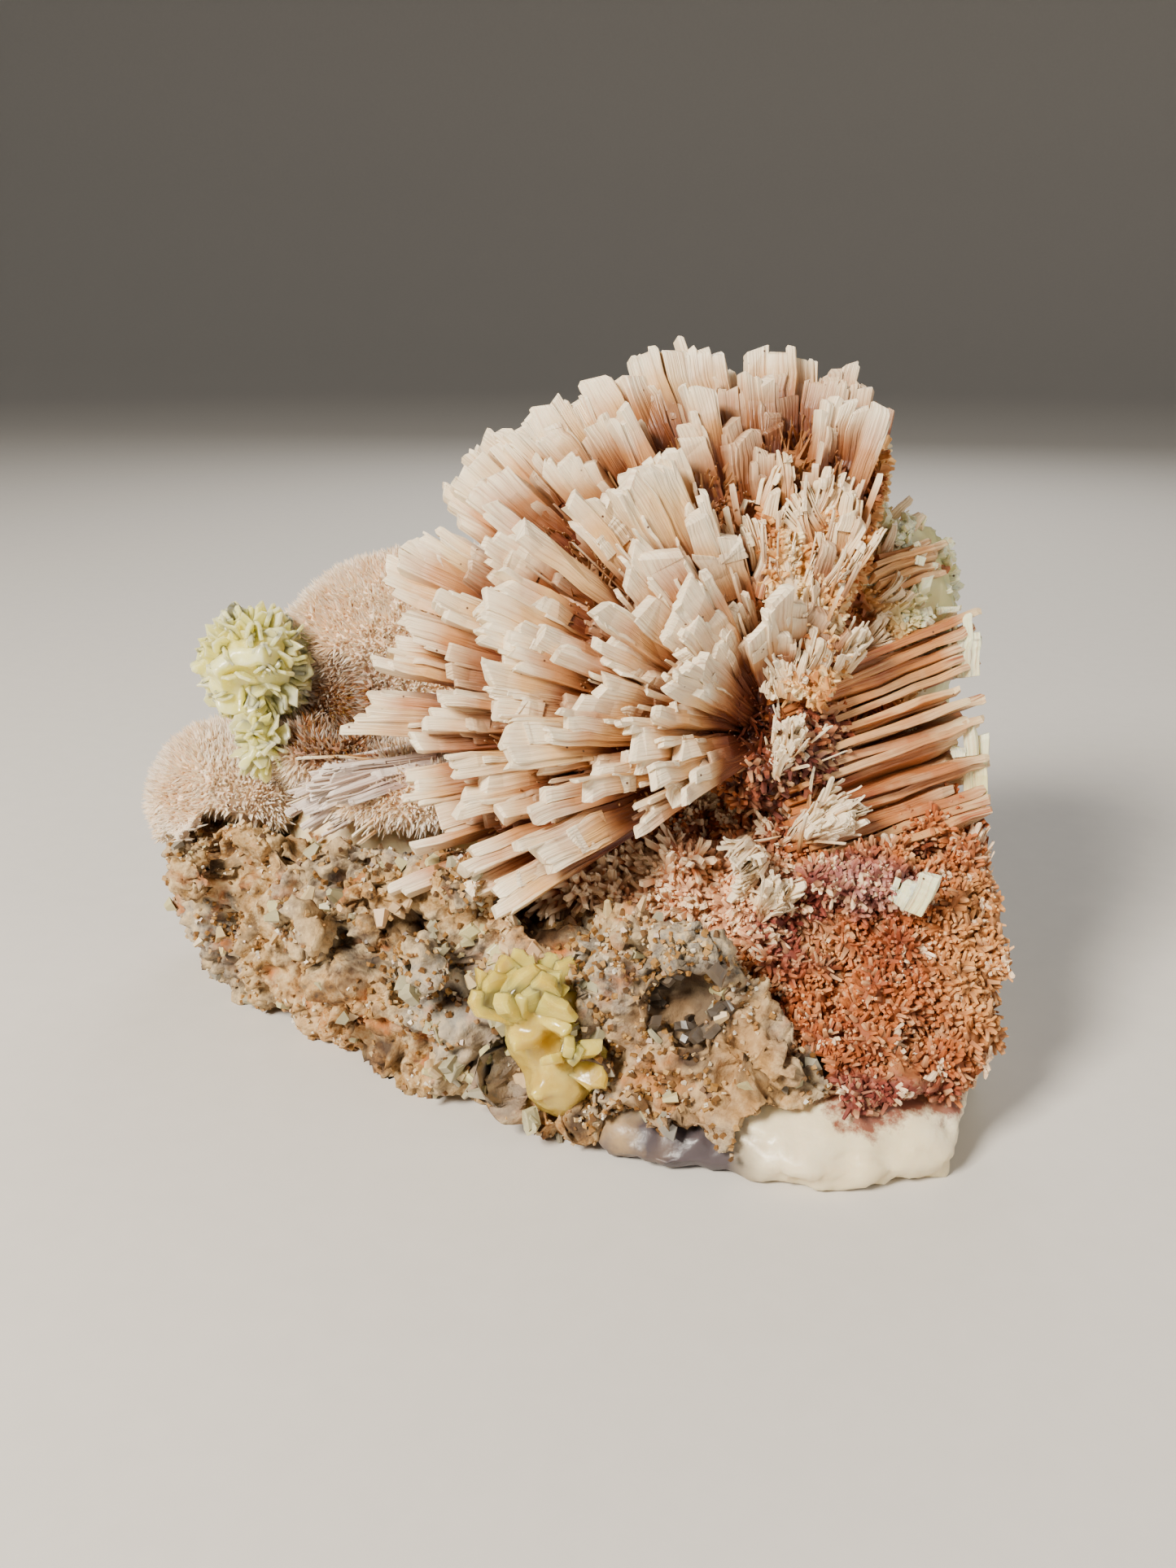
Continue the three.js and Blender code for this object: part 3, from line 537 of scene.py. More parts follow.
# %% Crowd of laths
CROWD = {"laths": 138, "clock": (72, 209), "lean": (-34, 50)}
CROWD_WIDTHS = (2.0, 3.2, 4.8, 7.0)
CROWD_TIERS = (0.0, 2.5, 5.5, 9.0)  # how far under the domed surface a lath ends, in mm
CLOCK_STEP, LEAN_STEP = 0.569840291, 0.7548776662  # the steps of a row that fills a square evenly
crowd_blades = []
for i in range(CROWD["laths"]):
    clock = between(*CROWD["clock"], (0.5 + (i + 1) * CLOCK_STEP) % 1)
    lean = between(*CROWD["lean"], (0.5 + (i + 1) * LEAN_STEP) % 1)
    if clock > 186 and lean < 1.5:
        lean = 1.5 + (1.5 - lean) * 0.6
    on_low_crown = clock < 100 and lean > 17
    if (on_low_crown and i % 4) or (lean > 34 and i % 3 == 0):
        continue
    tier = rng.choice(CROWD_TIERS) + rng.uniform(0.4, 3.0)
    reach = domed_reach(lean) - (tier + 5 * on_low_crown if lean < 40 else 0.5 * tier)
    along, across, facing = lath_axes(clock, lean, rng.uniform(-26, 26))
    width = rng.choice(CROWD_WIDTHS) * rng.uniform(0.85, 1.25) + 1.5 * (lean > 30)
    if clock > 170:
        width = rng.uniform(1.2, 3.2)
    tint = rng.choice([BRIGHT_LATH, PEACH_LATH, PEACH_LATH, MAUVE_LATH, MAUVE_LATH, 0.7])
    left, jag = broken(lean)
    slab(crowd_blades, FAN_CENTRE, along, across, facing, start=LATH_START * reach, reach=reach, width=width,
         thickness=rng.uniform(*LATH_THICKNESS) * left, tint=tint, rng=rng, jag=jag)
print(len(crowd_blades), "blades in the crowd")


# %% [markdown]
# ## Mordenite, cleaved and waxy
# Mordenite is a fibrous zeolite. Cleaved slabs are waxy and let light in a few millimetres. Their tips are a
# pale cream, painted nearly white as a glow and highlight. Towards the roots iron stains them peach, then ochre
# and brown, and in the fan these dark colours also paint the shade deep in the gaps under the domed surface.
# Fine lines run along the fibres, some laths are tinged mauve, and tiny dark specks of manganese oxide sit on
# them. The lines follow the UV map called grain, which is laid out in millimetres along each blade.

# %% Mordenite material
SUBSURFACE_REACH = (1.0, 0.62, 0.38)
CREAM_TINTS = [(0.0, "#B87E5C"), (0.25, "#CB9260"), (0.5, "#DBA76C"), (0.75, "#E6BA80"), (1.0, "#EFCE9A")]
FIBRE_SCALE = (0.09, 3.2, 1.0)  # per mm along and across the fibres
SPECK_CELL_MM = 2.3


def mordenite_material(name, root_colours, tints=CREAM_TINTS, blushing="#B27A62", tip="#F8E6C6", rust=0.45,
                       glow=0.15, milk="#EEDCC4"):
    """Waxy and fibrous, with pale tips, dark roots and rusty lines. The tips are cream with a painted glow and
    highlight, the roots are stained, and in the fan the dark colours also paint shade in the gaps. A little
    subsurface light gives the laths a soft glow.
    """
    material, tree, shader, place = start_material(
        name, Subsurface_Weight=glow, Subsurface_Scale=0.9 * MM, Subsurface_Radius=SUBSURFACE_REACH, IOR=1.48)
    from_tip, paleness, tint = (add(tree, "ShaderNodeAttribute", attribute_name=key).outputs["Fac"]
                                for key in ("from_tip", "pale", "tint"))
    grain = add(tree, "ShaderNodeUVMap", uv_map="grain").outputs[0]
    fibres = add(tree, "ShaderNodeMapping", {"Vector": grain, "Scale": FIBRE_SCALE}).outputs[0]
    fine = add(tree, "ShaderNodeTexNoise", {"Vector": fibres, "Scale": 1.0, "Detail": 4.0}).outputs["Fac"]
    cloudy = mottle(tree, place, 3.5)
    # Near-white towards the tips: their own cream with a painted glow and highlight.
    at_tip = add(tree, "ShaderNodeMapRange", {0: from_tip, 1: 5.5, 2: 0.3}).outputs[0]
    tip_glow_share = add(tree, "ShaderNodeMath", {0: cloudy, 1: 0.8, 2: at_tip}, operation="MULTIPLY_ADD").outputs[0]
    warm = add(tree, "ShaderNodeValToRGB", {0: tint}, stops=tints).outputs[0]
    pale = coated(tree, warm,
                  (mottle(tree, place, 6.0), 0.48, 0.64, 0.6, blushing),
                  (mottle(tree, place, 4.2, 4.0), 0.52, 0.66, 0.55, milk),
                  (tip_glow_share, 0.5, 1.3, 1, tip))
    # Where the pale value is low the root colours show: stain at the roots, and in the fan also painted shade
    # in the gaps.
    edge = add(tree, "ShaderNodeMath", {0: cloudy, 1: 0.5, 2: paleness}, operation="MULTIPLY_ADD").outputs[0]
    depth = add(tree, "ShaderNodeMapRange", {0: edge, 1: 0.15, 2: 1.1}).outputs[0]
    roots = add(tree, "ShaderNodeValToRGB", {0: depth}, stops=root_colours).outputs[0]
    patchy = add(tree, "ShaderNodeMapRange", {0: mottle(tree, place, 5.0, 4.0), 1: 0.69 - 0.2 * rust,
                                              2: 0.81 - 0.2 * rust}).outputs[0]
    lined = add(tree, "ShaderNodeMapRange", {0: fine, 1: 0.42, 2: 0.62}).outputs[0]
    rusty = add(tree, "ShaderNodeMath", {0: patchy, 1: lined}, operation="MULTIPLY").outputs[0]
    cells = add(tree, "ShaderNodeTexVoronoi", {"Vector": place, "Scale": 1 / (SPECK_CELL_MM * MM)})
    in_middle = add(tree, "ShaderNodeMapRange", {0: cells.outputs["Distance"], 1: 0.085, 2: 0.05}).outputs[0]
    red = add(tree, "ShaderNodeSeparateColor", {0: cells.outputs["Color"]}).outputs[0]
    chosen = add(tree, "ShaderNodeMapRange", {0: red, 1: 0.56, 2: 0.57}).outputs[0]
    speck = add(tree, "ShaderNodeMath", {0: in_middle, 1: chosen}, operation="MULTIPLY").outputs[0]
    coloured = coated(tree, roots,
                      (edge, 0.5, 1.15, 1, pale),
                      (fine, 0.52, 0.74, 0.34 + 0.36 * rust, "#A86A3C"),
                      (rusty, 0, 1, rust, "#A4552F"),
                      (speck, 0, 1, 1, "#5A3A2A"))
    surfaced(tree, shader, coloured, (fine, 0.3, 0.75, 0.28, 0.52), (fine, 0.4, 0.9))
    return material


ROOT_COLOURS = [(0.0, "#35110E"), (0.25, "#5F2A16"), (0.5, "#8A5024"), (0.75, "#B07636"), (1.0, "#CF9C5C")]
fan_material = mordenite_material("mordenite_cleaved_fibres", ROOT_COLOURS)
lone = blade_mesh("mordenite_laths", lone_blades, seed=3)
finish_piece(lone, "mordenite_fan", fan_material)
crowd = blade_mesh("mordenite_crowd", crowd_blades, seed=4)
finish_piece(crowd, "mordenite_fan", fan_material)

# %% [markdown]
# ## Splinters and the core
# Between the laths stand thin splinters, and deep in the gaps lies the grown-together core: rough, brown and
# full of short needles. The core is a sphere pushed out to a share of the fan's domed surface, a little under
# the CAD core, so that its needles end where the CAD core does.

# %% Splinters
SPLINTERS = {"count": 560, "clock": (68, 212), "lean": (-32, 44), "widths": (0.35, 1.0)}
splinters = []
for i in range(SPLINTERS["count"]):
    clock = rng.uniform(*SPLINTERS["clock"])
    lean = rng.uniform(*SPLINTERS["lean"])
    if clock > 186 and lean < 6:
        continue
    along, across, facing = lath_axes(clock, lean, rng.uniform(0, 180))
    reach = domed_reach(lean) * rng.uniform(0.5, 0.86)
    width = rng.uniform(*SPLINTERS["widths"])
    splinters.append((FAN_CENTRE + along * LATH_START * reach, along, across, facing, (1 - LATH_START) * reach,
                      width * 0.7, width, width * rng.uniform(0.5, 0.9),
                      rng.choice([BRIGHT_LATH, PEACH_LATH, MAUVE_LATH])))
splinter_piece = blade_mesh("mordenite_splinters", splinters, SPLINTER_RINGS, SPLINTER_CORNERS, seed=5)
finish_piece(splinter_piece, "mordenite_fan", fan_material)


# %% Core
def ball(detail):
    """Points and faces of a sphere of radius 1 cut into triangles."""
    shell = bmesh.new()
    bmesh.ops.create_icosphere(shell, subdivisions=detail, radius=1.0)
    points = np.array([v.co for v in shell.verts])
    faces = np.array([[v.index for v in f.verts] for f in shell.faces])
    shell.free()
    return points, faces


CORE_STUB, CORE_FROM, CORE_TO = 11, (58, 74), (198, 214)
core_directions, core_faces = ball(6)
core_clock = np.degrees(np.arctan2(core_directions @ UP, core_directions[:, 0])) % 360
core_lean = np.degrees(np.arcsin(np.clip(core_directions @ OUT, -1, 1)))
core_full = np.array([core_share(a) * domed_reach(a) for a in core_lean])
core_inside = eased(core_clock, *CORE_FROM) * (1 - eased(core_clock, *CORE_TO))
core_reach = between(CORE_STUB, core_full, core_inside) - 1.6
core_points = FAN_CENTRE + core_directions * core_reach[:, None]
core_points += core_directions * (ripple(core_points, 14, 2) + 0.9 * ripple(core_points, 3.1, 5))[:, None]
# The core's pale value stays low, so it takes the darker root colours: its own brown, with painted shade deep
# in the gaps.
core_values = {"from_tip": np.full(len(core_points), 6.0), "tint": np.full(len(core_points), 0.3),
               "pale": 0.45 * eased(np.linalg.norm(core_points - FAN_CENTRE, axis=1), 7, 22)}
core = mesh_piece("mordenite_core", core_points, core_faces, core_values, core_points[:, :2])
print("the core reaches", round(float(core_reach.max()), 1), "mm")

# %% [markdown]
# ## Ribs at the broken side
# At the right the fan is broken across, so its laths are seen on edge as bundles of long parallel blades with
# gaps between them, coloured with rust and painted shade. Each bundle is a stack of thin sheets between the
# same two ends as in the CAD. Each sheet is a row of four blades with ends of their own.

# %% Ribs
RIB_BUNDLES = [
    {"start": (25, -12, 49), "end": (50, -1, 55.5), "spread": 7.5, "count": 6, "width": 9, "thickness": 1.2},
    {"start": (27, -15, 43), "end": (49.5, -7, 48), "spread": 6, "count": 4, "width": 8, "thickness": 1.2},
    {"start": (27, -16, 35), "end": (50.5, -8, 40), "spread": 13.5, "count": 11, "width": 9, "thickness": 1.15},
    {"start": (37, -3, 64), "end": (46, 3, 65.5), "spread": 5, "count": 5, "width": 7, "thickness": 0.9},
]
RIB_END_X, BLADES_IN_A_SHEET = 50.4, 4


def rib_rust_and_gap_shade(points, from_tip):
    """Rusty where they leave the hollow; darker behind the front edges of the ribs, which is rust with painted
    shade in the gaps.
    """
    front = 7.0 - 0.3 * (points[..., 0] - 25)
    # Darker behind the front edges: rust with painted shade in the gaps between the sheets.
    behind = eased((points - FAN_CENTRE) @ OUT - front, -4.5, -0.5)
    return 0.3 + 0.8 * behind * eased(points[..., 0], 23, 31)


rib_blades = []
for bundle in RIB_BUNDLES:
    start, end = np.array(bundle["start"], float), np.array(bundle["end"], float)
    reach = np.linalg.norm(end - start)
    along = unit(end - start)
    across = unit(OUT - along * float(OUT @ along))
    stack = np.cross(along, across)
    for i in range(bundle["count"]):
        place = bundle["spread"] * ((i + 0.5) / bundle["count"] - 0.5)
        forward = (rng.random() - 0.7) * 2.4 + bundle["width"] * 0.25
        tilt = math.radians(rng.uniform(-24, 16))
        own_across = unit(across * math.cos(tilt) + stack * math.sin(tilt))
        lean_along = unit(along + stack * rng.normal(0, 0.02))
        own_across = unit(own_across - lean_along * float(lean_along @ own_across))
        own_stack = np.cross(lean_along, own_across)
        tint = rng.choice([0.3, 0.55, 0.8])
        for part in range(BLADES_IN_A_SHEET):
            width = bundle["width"] / BLADES_IN_A_SHEET
            root = start + stack * (place + rng.normal(0, 0.06)) + own_across * (forward - (part + 0.5) * width)
            root = root - lean_along * rng.uniform(0, 4)
            length = min(reach + rng.uniform(-2.5, 2.0), (RIB_END_X - root[0]) / lean_along[0])
            rib_blades.append((root, lean_along, own_across, own_stack, length, width * 1.02, width * 1.02,
                               bundle["thickness"] * rng.uniform(0.75, 1.1), tint))
ribs = blade_mesh("mordenite_ribs", rib_blades, seed=6, paleness=rib_rust_and_gap_shade)
RUST_AND_SHADE_ROOTS = [(0.0, "#5A2412"), (0.3, "#9A4E22"), (0.6, "#B9703A"), (1.0, "#D49A62")]
RIB_TINTS = [(0.0, "#A86030"), (0.5, "#CC8A4C"), (1.0, "#E4B47A")]
rib_material = mordenite_material("mordenite_rusty_ribs", RUST_AND_SHADE_ROOTS, RIB_TINTS, blushing="#B06A40",
                                  tip="#F0D2A4", rust=0.95, milk="#E8C496")
finish_piece(ribs, "mordenite_fan", rib_material)

# %% [markdown]
# ## Broken tufts
# Short white tufts stand round the dark hollow and over the upper right, where the laths broke off low. A
# tuft is a cone of short slabs with torn ends, so their blades taper, and a few splinters stand out between
# them. The lilac ridge at the left, under the lobes, is made in the same way but longer and paler.

# %% Tufts
TUFTS = [
    {"at": (23.5, -15.5, 44.5), "toward": (0.2, -0.45, 0.9), "size": 7.0, "spread": 26, "hairs": 20,
     "slabs": 22},
    {"at": (28, -17, 35.5), "toward": (0.6, -0.5, 0.7), "size": 8.0, "spread": 26, "hairs": 20, "slabs": 24},
    {"at": (24, -13, 53), "toward": (-0.2, -0.5, 0.8), "size": 7.0, "spread": 24, "hairs": 10, "slabs": 16},
    {"at": (30, -11, 55), "toward": (0.3, -0.4, 0.8), "size": 7.0, "spread": 24, "hairs": 10, "slabs": 16},
    {"at": (20, -20, 33), "toward": (-0.5, -0.7, 0.0), "size": 5.5, "spread": 24, "hairs": 12, "slabs": 12},
    {"at": (22, -22.5, 28), "toward": (0.3, -0.5, 0.7), "size": 5.5, "spread": 24, "hairs": 12, "slabs": 12},
]
RIDGE = [
    {"at": (-20, 0, 38), "toward": (-0.95, -0.2, -0.25), "size": 17, "spread": 15, "hairs": 8, "slabs": 20},
    {"at": (-30, 2, 35), "toward": (-0.9, -0.3, -0.3), "size": 12, "spread": 19, "hairs": 8, "slabs": 18},
]


def leaning(axis, spread, rng):
    """A direction near an axis, with two more at right angles to it."""
    side = unit(np.cross(axis, rng.normal(size=3)))
    angle = math.radians(spread) * math.sqrt(rng.random())
    along = unit(axis * math.cos(angle) + side * math.sin(angle))
    across = unit(np.cross(along, rng.normal(size=3)))
    return along, across, np.cross(along, across)


def tuft_paleness(points, from_tip):
    """Pale tips on ochre feet."""
    return 0.25 + 0.75 * eased(-from_tip, -6.5, -2.5)


tuft_blades, tuft_splinters, ridge_blades = [], [], []
for tuft in TUFTS + RIDGE:
    at, axis = np.array(tuft["at"], float), unit(tuft["toward"])
    blades = ridge_blades if tuft in RIDGE else tuft_blades
    for i in range(tuft["slabs"]):
        along, across, facing = leaning(axis, tuft["spread"] * 0.7, rng)
        slab(blades, at - axis * 1.5 + rng.normal(0, 0.8, 3), along, across, facing, start=0.5,
             reach=tuft["size"] * rng.uniform(0.6, 1.15), width=rng.uniform(1.8, 3.6),
             thickness=rng.uniform(0.7, 1.3), tint=rng.choice([0.6, 0.95]), rng=rng, jag=1.1, foot=0.85,
             taper=0.35, coarse=0.5)
    for i in range(tuft["hairs"]):
        along, across, facing = leaning(axis, tuft["spread"] * 1.6, rng)
        width = rng.uniform(0.3, 0.75)
        tuft_splinters.append((at - axis * 1.5 + rng.normal(0, 1.2, 3), along, across, facing,
                               tuft["size"] * rng.uniform(0.7, 1.2), width, width * 0.6, width * 0.6,
                               rng.choice([0.5, 0.8, 0.95])))
tufts = blade_mesh("mordenite_tuft_slabs", tuft_blades, TORN_RINGS, seed=7, paleness=tuft_paleness)
finish_piece(tufts, "mordenite_fan", fan_material)


# %% Lilac ridge and the tufts' splinters
def ridge_paleness(points, from_tip):
    """The ridge is greyish brown only near its roots."""
    return 0.45 + 0.7 * eased(-from_tip, -12, -4)


LILAC_TINTS = [(0.0, "#B49C90"), (0.5, "#C8B2A6"), (1.0, "#DCCABE")]
LILAC_ROOTS = [(0.0, "#5A3C30"), (0.5, "#8E6C5A"), (1.0, "#BFA292")]
ridge_material = mordenite_material("mordenite_lilac_ridge", LILAC_ROOTS, LILAC_TINTS, blushing="#A98880",
                                    tip="#E6D6CA", rust=0.3, milk="#DCCCC2")
ridge = blade_mesh("mordenite_lilac_ridge", ridge_blades, TORN_RINGS, seed=12, paleness=ridge_paleness)
finish_piece(ridge, "mordenite_fan", ridge_material)
tuft_hairs = blade_mesh("mordenite_tufts", tuft_splinters, SPLINTER_RINGS, SPLINTER_CORNERS, seed=8,
                        paleness=tuft_paleness)
finish_piece(tuft_hairs, "mordenite_fan", fan_material)


# %% [markdown]
# ## The broken flank
# Right of the fan the laths broke off almost at the rock. What is left is a rusty granular crust with short
# ragged slabs of cream standing on it, and thin pale green plates that close off the ends of the ribs. The
# crust is the same lump as in the CAD, and the slabs stand on its surface, pointing away from the fan centre.

# %% Flank
FLANK = {"at": (33, 2, 54), "radii": (13, 9, 19), "lay": -14}
FLANK_END_X = 50.2
flank_directions, flank_faces = ball(6)
lay = math.radians(FLANK["lay"])
tip_back = np.array([[1, 0, 0], [0, math.cos(lay), -math.sin(lay)], [0, math.sin(lay), math.cos(lay)]])
flank_points = (flank_directions * (np.array(FLANK["radii"]) - 0.8)) @ tip_back.T + FLANK["at"]
flank_out = flank_points - FLANK["at"]
flank_out /= np.linalg.norm(flank_out, axis=1)[:, None]
flank_points += flank_out * (ripple(flank_points, 11, 5) + 0.6 * ripple(flank_points, 3.3, 2))[:, None]
flank_points[:, 0] = np.minimum(flank_points[:, 0], FLANK_END_X)
print("the flank has", len(flank_faces), "faces")

# %% Ragged slabs
RAGGED = {"on the flank": 130, "on the core": 40}
TORN_SHADES = (0.3, 0.6, 0.95)
flank_blades = []
for i in range(RAGGED["on the flank"]):
    pick = flank_directions[rng.integers(len(flank_directions))]
    at = (pick * (np.array(FLANK["radii"]) - 2.2)) @ tip_back.T + FLANK["at"]
    if pick[1] > 0.3 or at[2] < 51 or at[0] > 46.5 or at[2] > 71:
        continue
    away = unit(unit(at - FAN_CENTRE) + 0.8 * unit(at - FLANK["at"]) + rng.normal(0, 0.2, 3))
    across = unit(np.cross(away, unit(OUT + rng.normal(0, 0.6, 3))))
    slab(flank_blades, at, away, across, np.cross(away, across), start=0.0, reach=rng.uniform(3.0, 6.0),
         width=rng.uniform(1.8, 5.0), thickness=rng.uniform(0.9, 2.0), tint=rng.choice(TORN_SHADES), rng=rng,
         jag=1.2, foot=0.8, taper=0.5, coarse=0.5)
for i in range(RAGGED["on the core"]):
    clock, lean = rng.uniform(72, 104), rng.uniform(17, 60)
    outward = lath_axes(clock, lean, 0)[0]
    low = core_share(lean) * domed_reach(lean)
    away, across, facing = lath_axes(clock + rng.normal(0, 16), lean * 0.4, rng.uniform(-35, 35))
    slab(flank_blades, FAN_CENTRE + outward * (low + 0.5), away, across, facing, start=0.0,
         reach=rng.uniform(4.5, 8.0), width=rng.uniform(2.5, 6.5), thickness=rng.uniform(1.0, 2.0),
         tint=rng.choice(TORN_SHADES), rng=rng, jag=1.8, foot=0.8, taper=0.5, coarse=0.5)
flank_slabs = blade_mesh("mordenite_flank_slabs", flank_blades, TORN_RINGS, seed=9, paleness=tuft_paleness)
torn_material = mordenite_material("mordenite_torn_slabs", ROOT_COLOURS, blushing="#C07A4A", tip="#F8E0BA",
                                   rust=0.75, milk="#F0D0A4")
finish_piece(flank_slabs, "mordenite_fan", torn_material)

# %% End plates
END_PLATES = [
    {"at": (48.0, -4.5, 51), "along": (-0.05, 0.2, 1), "size": (8.5, 3.6), "turn": 0.25},
    {"at": (48.9, -10.5, 34.5), "along": (0.02, 0.25, 1), "size": (11, 2.8), "turn": 0.3},
    {"at": (47.6, -9.0, 42), "along": (-0.2, 0.35, 1), "size": (5, 3.0), "turn": 0.6},
    {"at": (45.5, 0.5, 59), "along": (0.05, 0.3, 1), "size": (4.5, 4.5), "turn": 0.4},
    {"at": (42.0, -2.0, 58), "along": (-0.3, 0.3, 1), "size": (4.5, 4.0), "turn": 0.2},
    {"at": (37.5, -25.0, 28.5), "along": (0.25, -0.1, 1), "size": (6.0, 4.5), "turn": 0.5},
]
PLATE_THICKNESS = 0.9
plate_blades = []
for plate in END_PLATES:
    along = unit(plate["along"])
    facing = unit(OUT - plate["turn"] * RIGHT)
    facing = unit(facing - along * float(along @ facing))
    length, width = plate["size"]
    slab(plate_blades, np.array(plate["at"], float), along, np.cross(facing, along), facing, start=0.0,
         reach=length, width=width, thickness=PLATE_THICKNESS, tint=1.0, rng=rng, jag=1.4, foot=0.95,
         chipped=0.1)
print(len(flank_blades), "blades on the flank and", len(plate_blades), "in the end plates")

# %% [markdown]
# ## Rock from its CAD solid
# The rock, the bed and the lobes start as a copy of their CAD solid. Its loose triangles are merged, then a
# voxel remesh gives it even faces of a chosen size, and smoothing takes the facets away. What follows adds the
# relief that each surface has.

# %% Carrier surfaces
def carrier(node, name, voxel_mm, smoothing=8):
    """A copy of a CAD node with even faces and softened facets."""
    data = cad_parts[node].data.copy()
    data.name = name
    piece = bpy.data.objects.new(name, data)
    bpy.context.scene.collection.objects.link(piece)
    weld = piece.modifiers.new("weld", "WELD")
    weld.merge_threshold = 1e-5
    remesh = piece.modifiers.new("remesh", "REMESH")
    remesh.mode, remesh.voxel_size = "VOXEL", voxel_mm * MM
    smooth = piece.modifiers.new("smooth", "SMOOTH")
    smooth.factor, smooth.iterations = 0.5, smoothing
    made_plain(piece)
    piece.data.polygons.foreach_set("use_smooth", [True] * len(piece.data.polygons))
    return piece


bed_carrier = carrier("needle_bed", "rusty_bed", 0.7)
print("the bed has", len(bed_carrier.data.polygons), "faces")


# %% [markdown]
# ## Relief
# One Geometry Nodes tree roughens any of these surfaces. It moves each point along its normal by broad lumps,
# fine grit and rounded pits, and stores how deep the point lies, so that a material can paint shade into the
# hollows.

# %% Relief tree
def relief_tree():
    tree = bpy.data.node_groups.new("weathered_relief", "GeometryNodeTree")
    face = tree.interface
    face.new_socket("Geometry", in_out="INPUT", socket_type="NodeSocketGeometry")
    for title in ("Lump size", "Lump height", "Grit size", "Grit height", "Pit size", "Pit depth", "Sink",
                  "Crack size", "Crack depth"):
        face.new_socket(title, in_out="INPUT", socket_type="NodeSocketFloat").default_value = 0.01
    face.new_socket("Stone", in_out="INPUT", socket_type="NodeSocketMaterial")
    face.new_socket("Geometry", in_out="OUTPUT", socket_type="NodeSocketGeometry")
    given = add(tree, "NodeGroupInput").outputs
    at = add(tree, "GeometryNodeInputPosition").outputs[0]
    normal = add(tree, "GeometryNodeInputNormal").outputs[0]
    per_metre = {}
    for key in ("Lump", "Grit", "Pit", "Crack"):
        size = given[key + " size"]
        per_metre[key] = add(tree, "ShaderNodeMath", {0: 1.0, 1: size}, operation="DIVIDE").outputs[0]

    lumps = add(tree, "ShaderNodeTexNoise", {"Vector": at, "Scale": per_metre["Lump"], "Detail": 4.0,
                                             "Roughness": 0.6}).outputs["Fac"]
    lump_share = add(tree, "ShaderNodeMapRange", {0: lumps, 1: 0.3, 2: 0.7, 3: -1.0, 4: 1.0},
                     clamp=False).outputs[0]
    grit = add(tree, "ShaderNodeTexVoronoi", {"Vector": at, "Scale": per_metre["Grit"]}).outputs["Distance"]
    grit_share = add(tree, "ShaderNodeMapRange", {0: grit, 1: 0.0, 2: 0.9, 3: 1.0, 4: -0.5}).outputs[0]
    bent = add(tree, "ShaderNodeTexNoise", {"Vector": at, "Scale": per_metre["Pit"]}).outputs["Color"]
    bend = add(tree, "ShaderNodeVectorMath", {0: bent, "Scale": 0.006}, operation="SCALE").outputs[0]
    bent_at = add(tree, "ShaderNodeVectorMath", {0: at, 1: bend}, operation="ADD").outputs[0]
    pits = add(tree, "ShaderNodeTexVoronoi", {"Vector": bent_at, "Scale": per_metre["Pit"]},
               feature="SMOOTH_F1").outputs["Distance"]
    pit_share = add(tree, "ShaderNodeMapRange", {0: pits, 1: 0.42, 2: 0.12, 3: 0.0, 4: -1.0}).outputs[0]
    lines = add(tree, "ShaderNodeTexNoise", {"Vector": bent_at, "Scale": per_metre["Crack"],
                                             "Detail": 3.0}).outputs["Fac"]
    off_middle = add(tree, "ShaderNodeMath", {0: lines, 1: -0.5}, operation="ADD").outputs[0]
    line = add(tree, "ShaderNodeMath", {0: off_middle}, operation="ABSOLUTE").outputs[0]
    crack_share = add(tree, "ShaderNodeMapRange", {0: line, 1: 0.035, 2: 0.0, 3: 0.0, 4: -1.0}).outputs[0]

    height = None
    for share, amount in ((lump_share, "Lump height"), (grit_share, "Grit height"),
                          (crack_share, "Crack depth"), (pit_share, "Pit depth"), (-1.0, "Sink")):
        part = add(tree, "ShaderNodeMath", {0: share, 1: given[amount]}, operation="MULTIPLY").outputs[0]
        if height is None:
            height = part
        else:
            height = add(tree, "ShaderNodeMath", {0: height, 1: part}, operation="ADD").outputs[0]
    offset = add(tree, "ShaderNodeVectorMath", {0: normal, "Scale": height}, operation="SCALE").outputs[0]
    moved = add(tree, "GeometryNodeSetPosition", {"Geometry": given["Geometry"], "Offset": offset}).outputs[0]

    crack_part = add(tree, "ShaderNodeMath", {0: crack_share, 1: 0.8}, operation="MULTIPLY").outputs[0]
    deepest = add(tree, "ShaderNodeMath", {0: pit_share, 1: crack_part}, operation="MINIMUM").outputs[0]
    hollow = add(tree, "ShaderNodeMath", {0: deepest, 1: -1.0}, operation="MULTIPLY").outputs[0]
    half = add(tree, "ShaderNodeMath", {0: lump_share, 1: 0.5}, operation="MULTIPLY").outputs[0]
    rise = add(tree, "ShaderNodeMath", {0: half, 1: 0.5}, operation="ADD").outputs[0]
    for key, value in (("hollow", hollow), ("height", rise)):
        moved = add(tree, "GeometryNodeStoreNamedAttribute", {"Geometry": moved, "Name": key, "Value": value},
                    data_type="FLOAT", domain="POINT").outputs[0]
    real = add(tree, "GeometryNodeRealizeInstances", {"Geometry": moved}).outputs[0]
    dressed = add(tree, "GeometryNodeSetMaterial", {"Geometry": real, "Material": given["Stone"]}).outputs[0]
    add(tree, "NodeGroupOutput", {"Geometry": dressed})
    return tree


relief = relief_tree()
print("relief tree with", len(relief.nodes), "nodes")


# %% [markdown]
# ## A druse
# Fine needles and grains cover the bed and the lobes. A second tree scatters points over a surface and puts a
# tapered needle on each, turned out along the normal with some tilt. Each needle keeps a value that rises from
# its root to its tip, and a random tint. The tree ends in Realize Instances and Set Material.

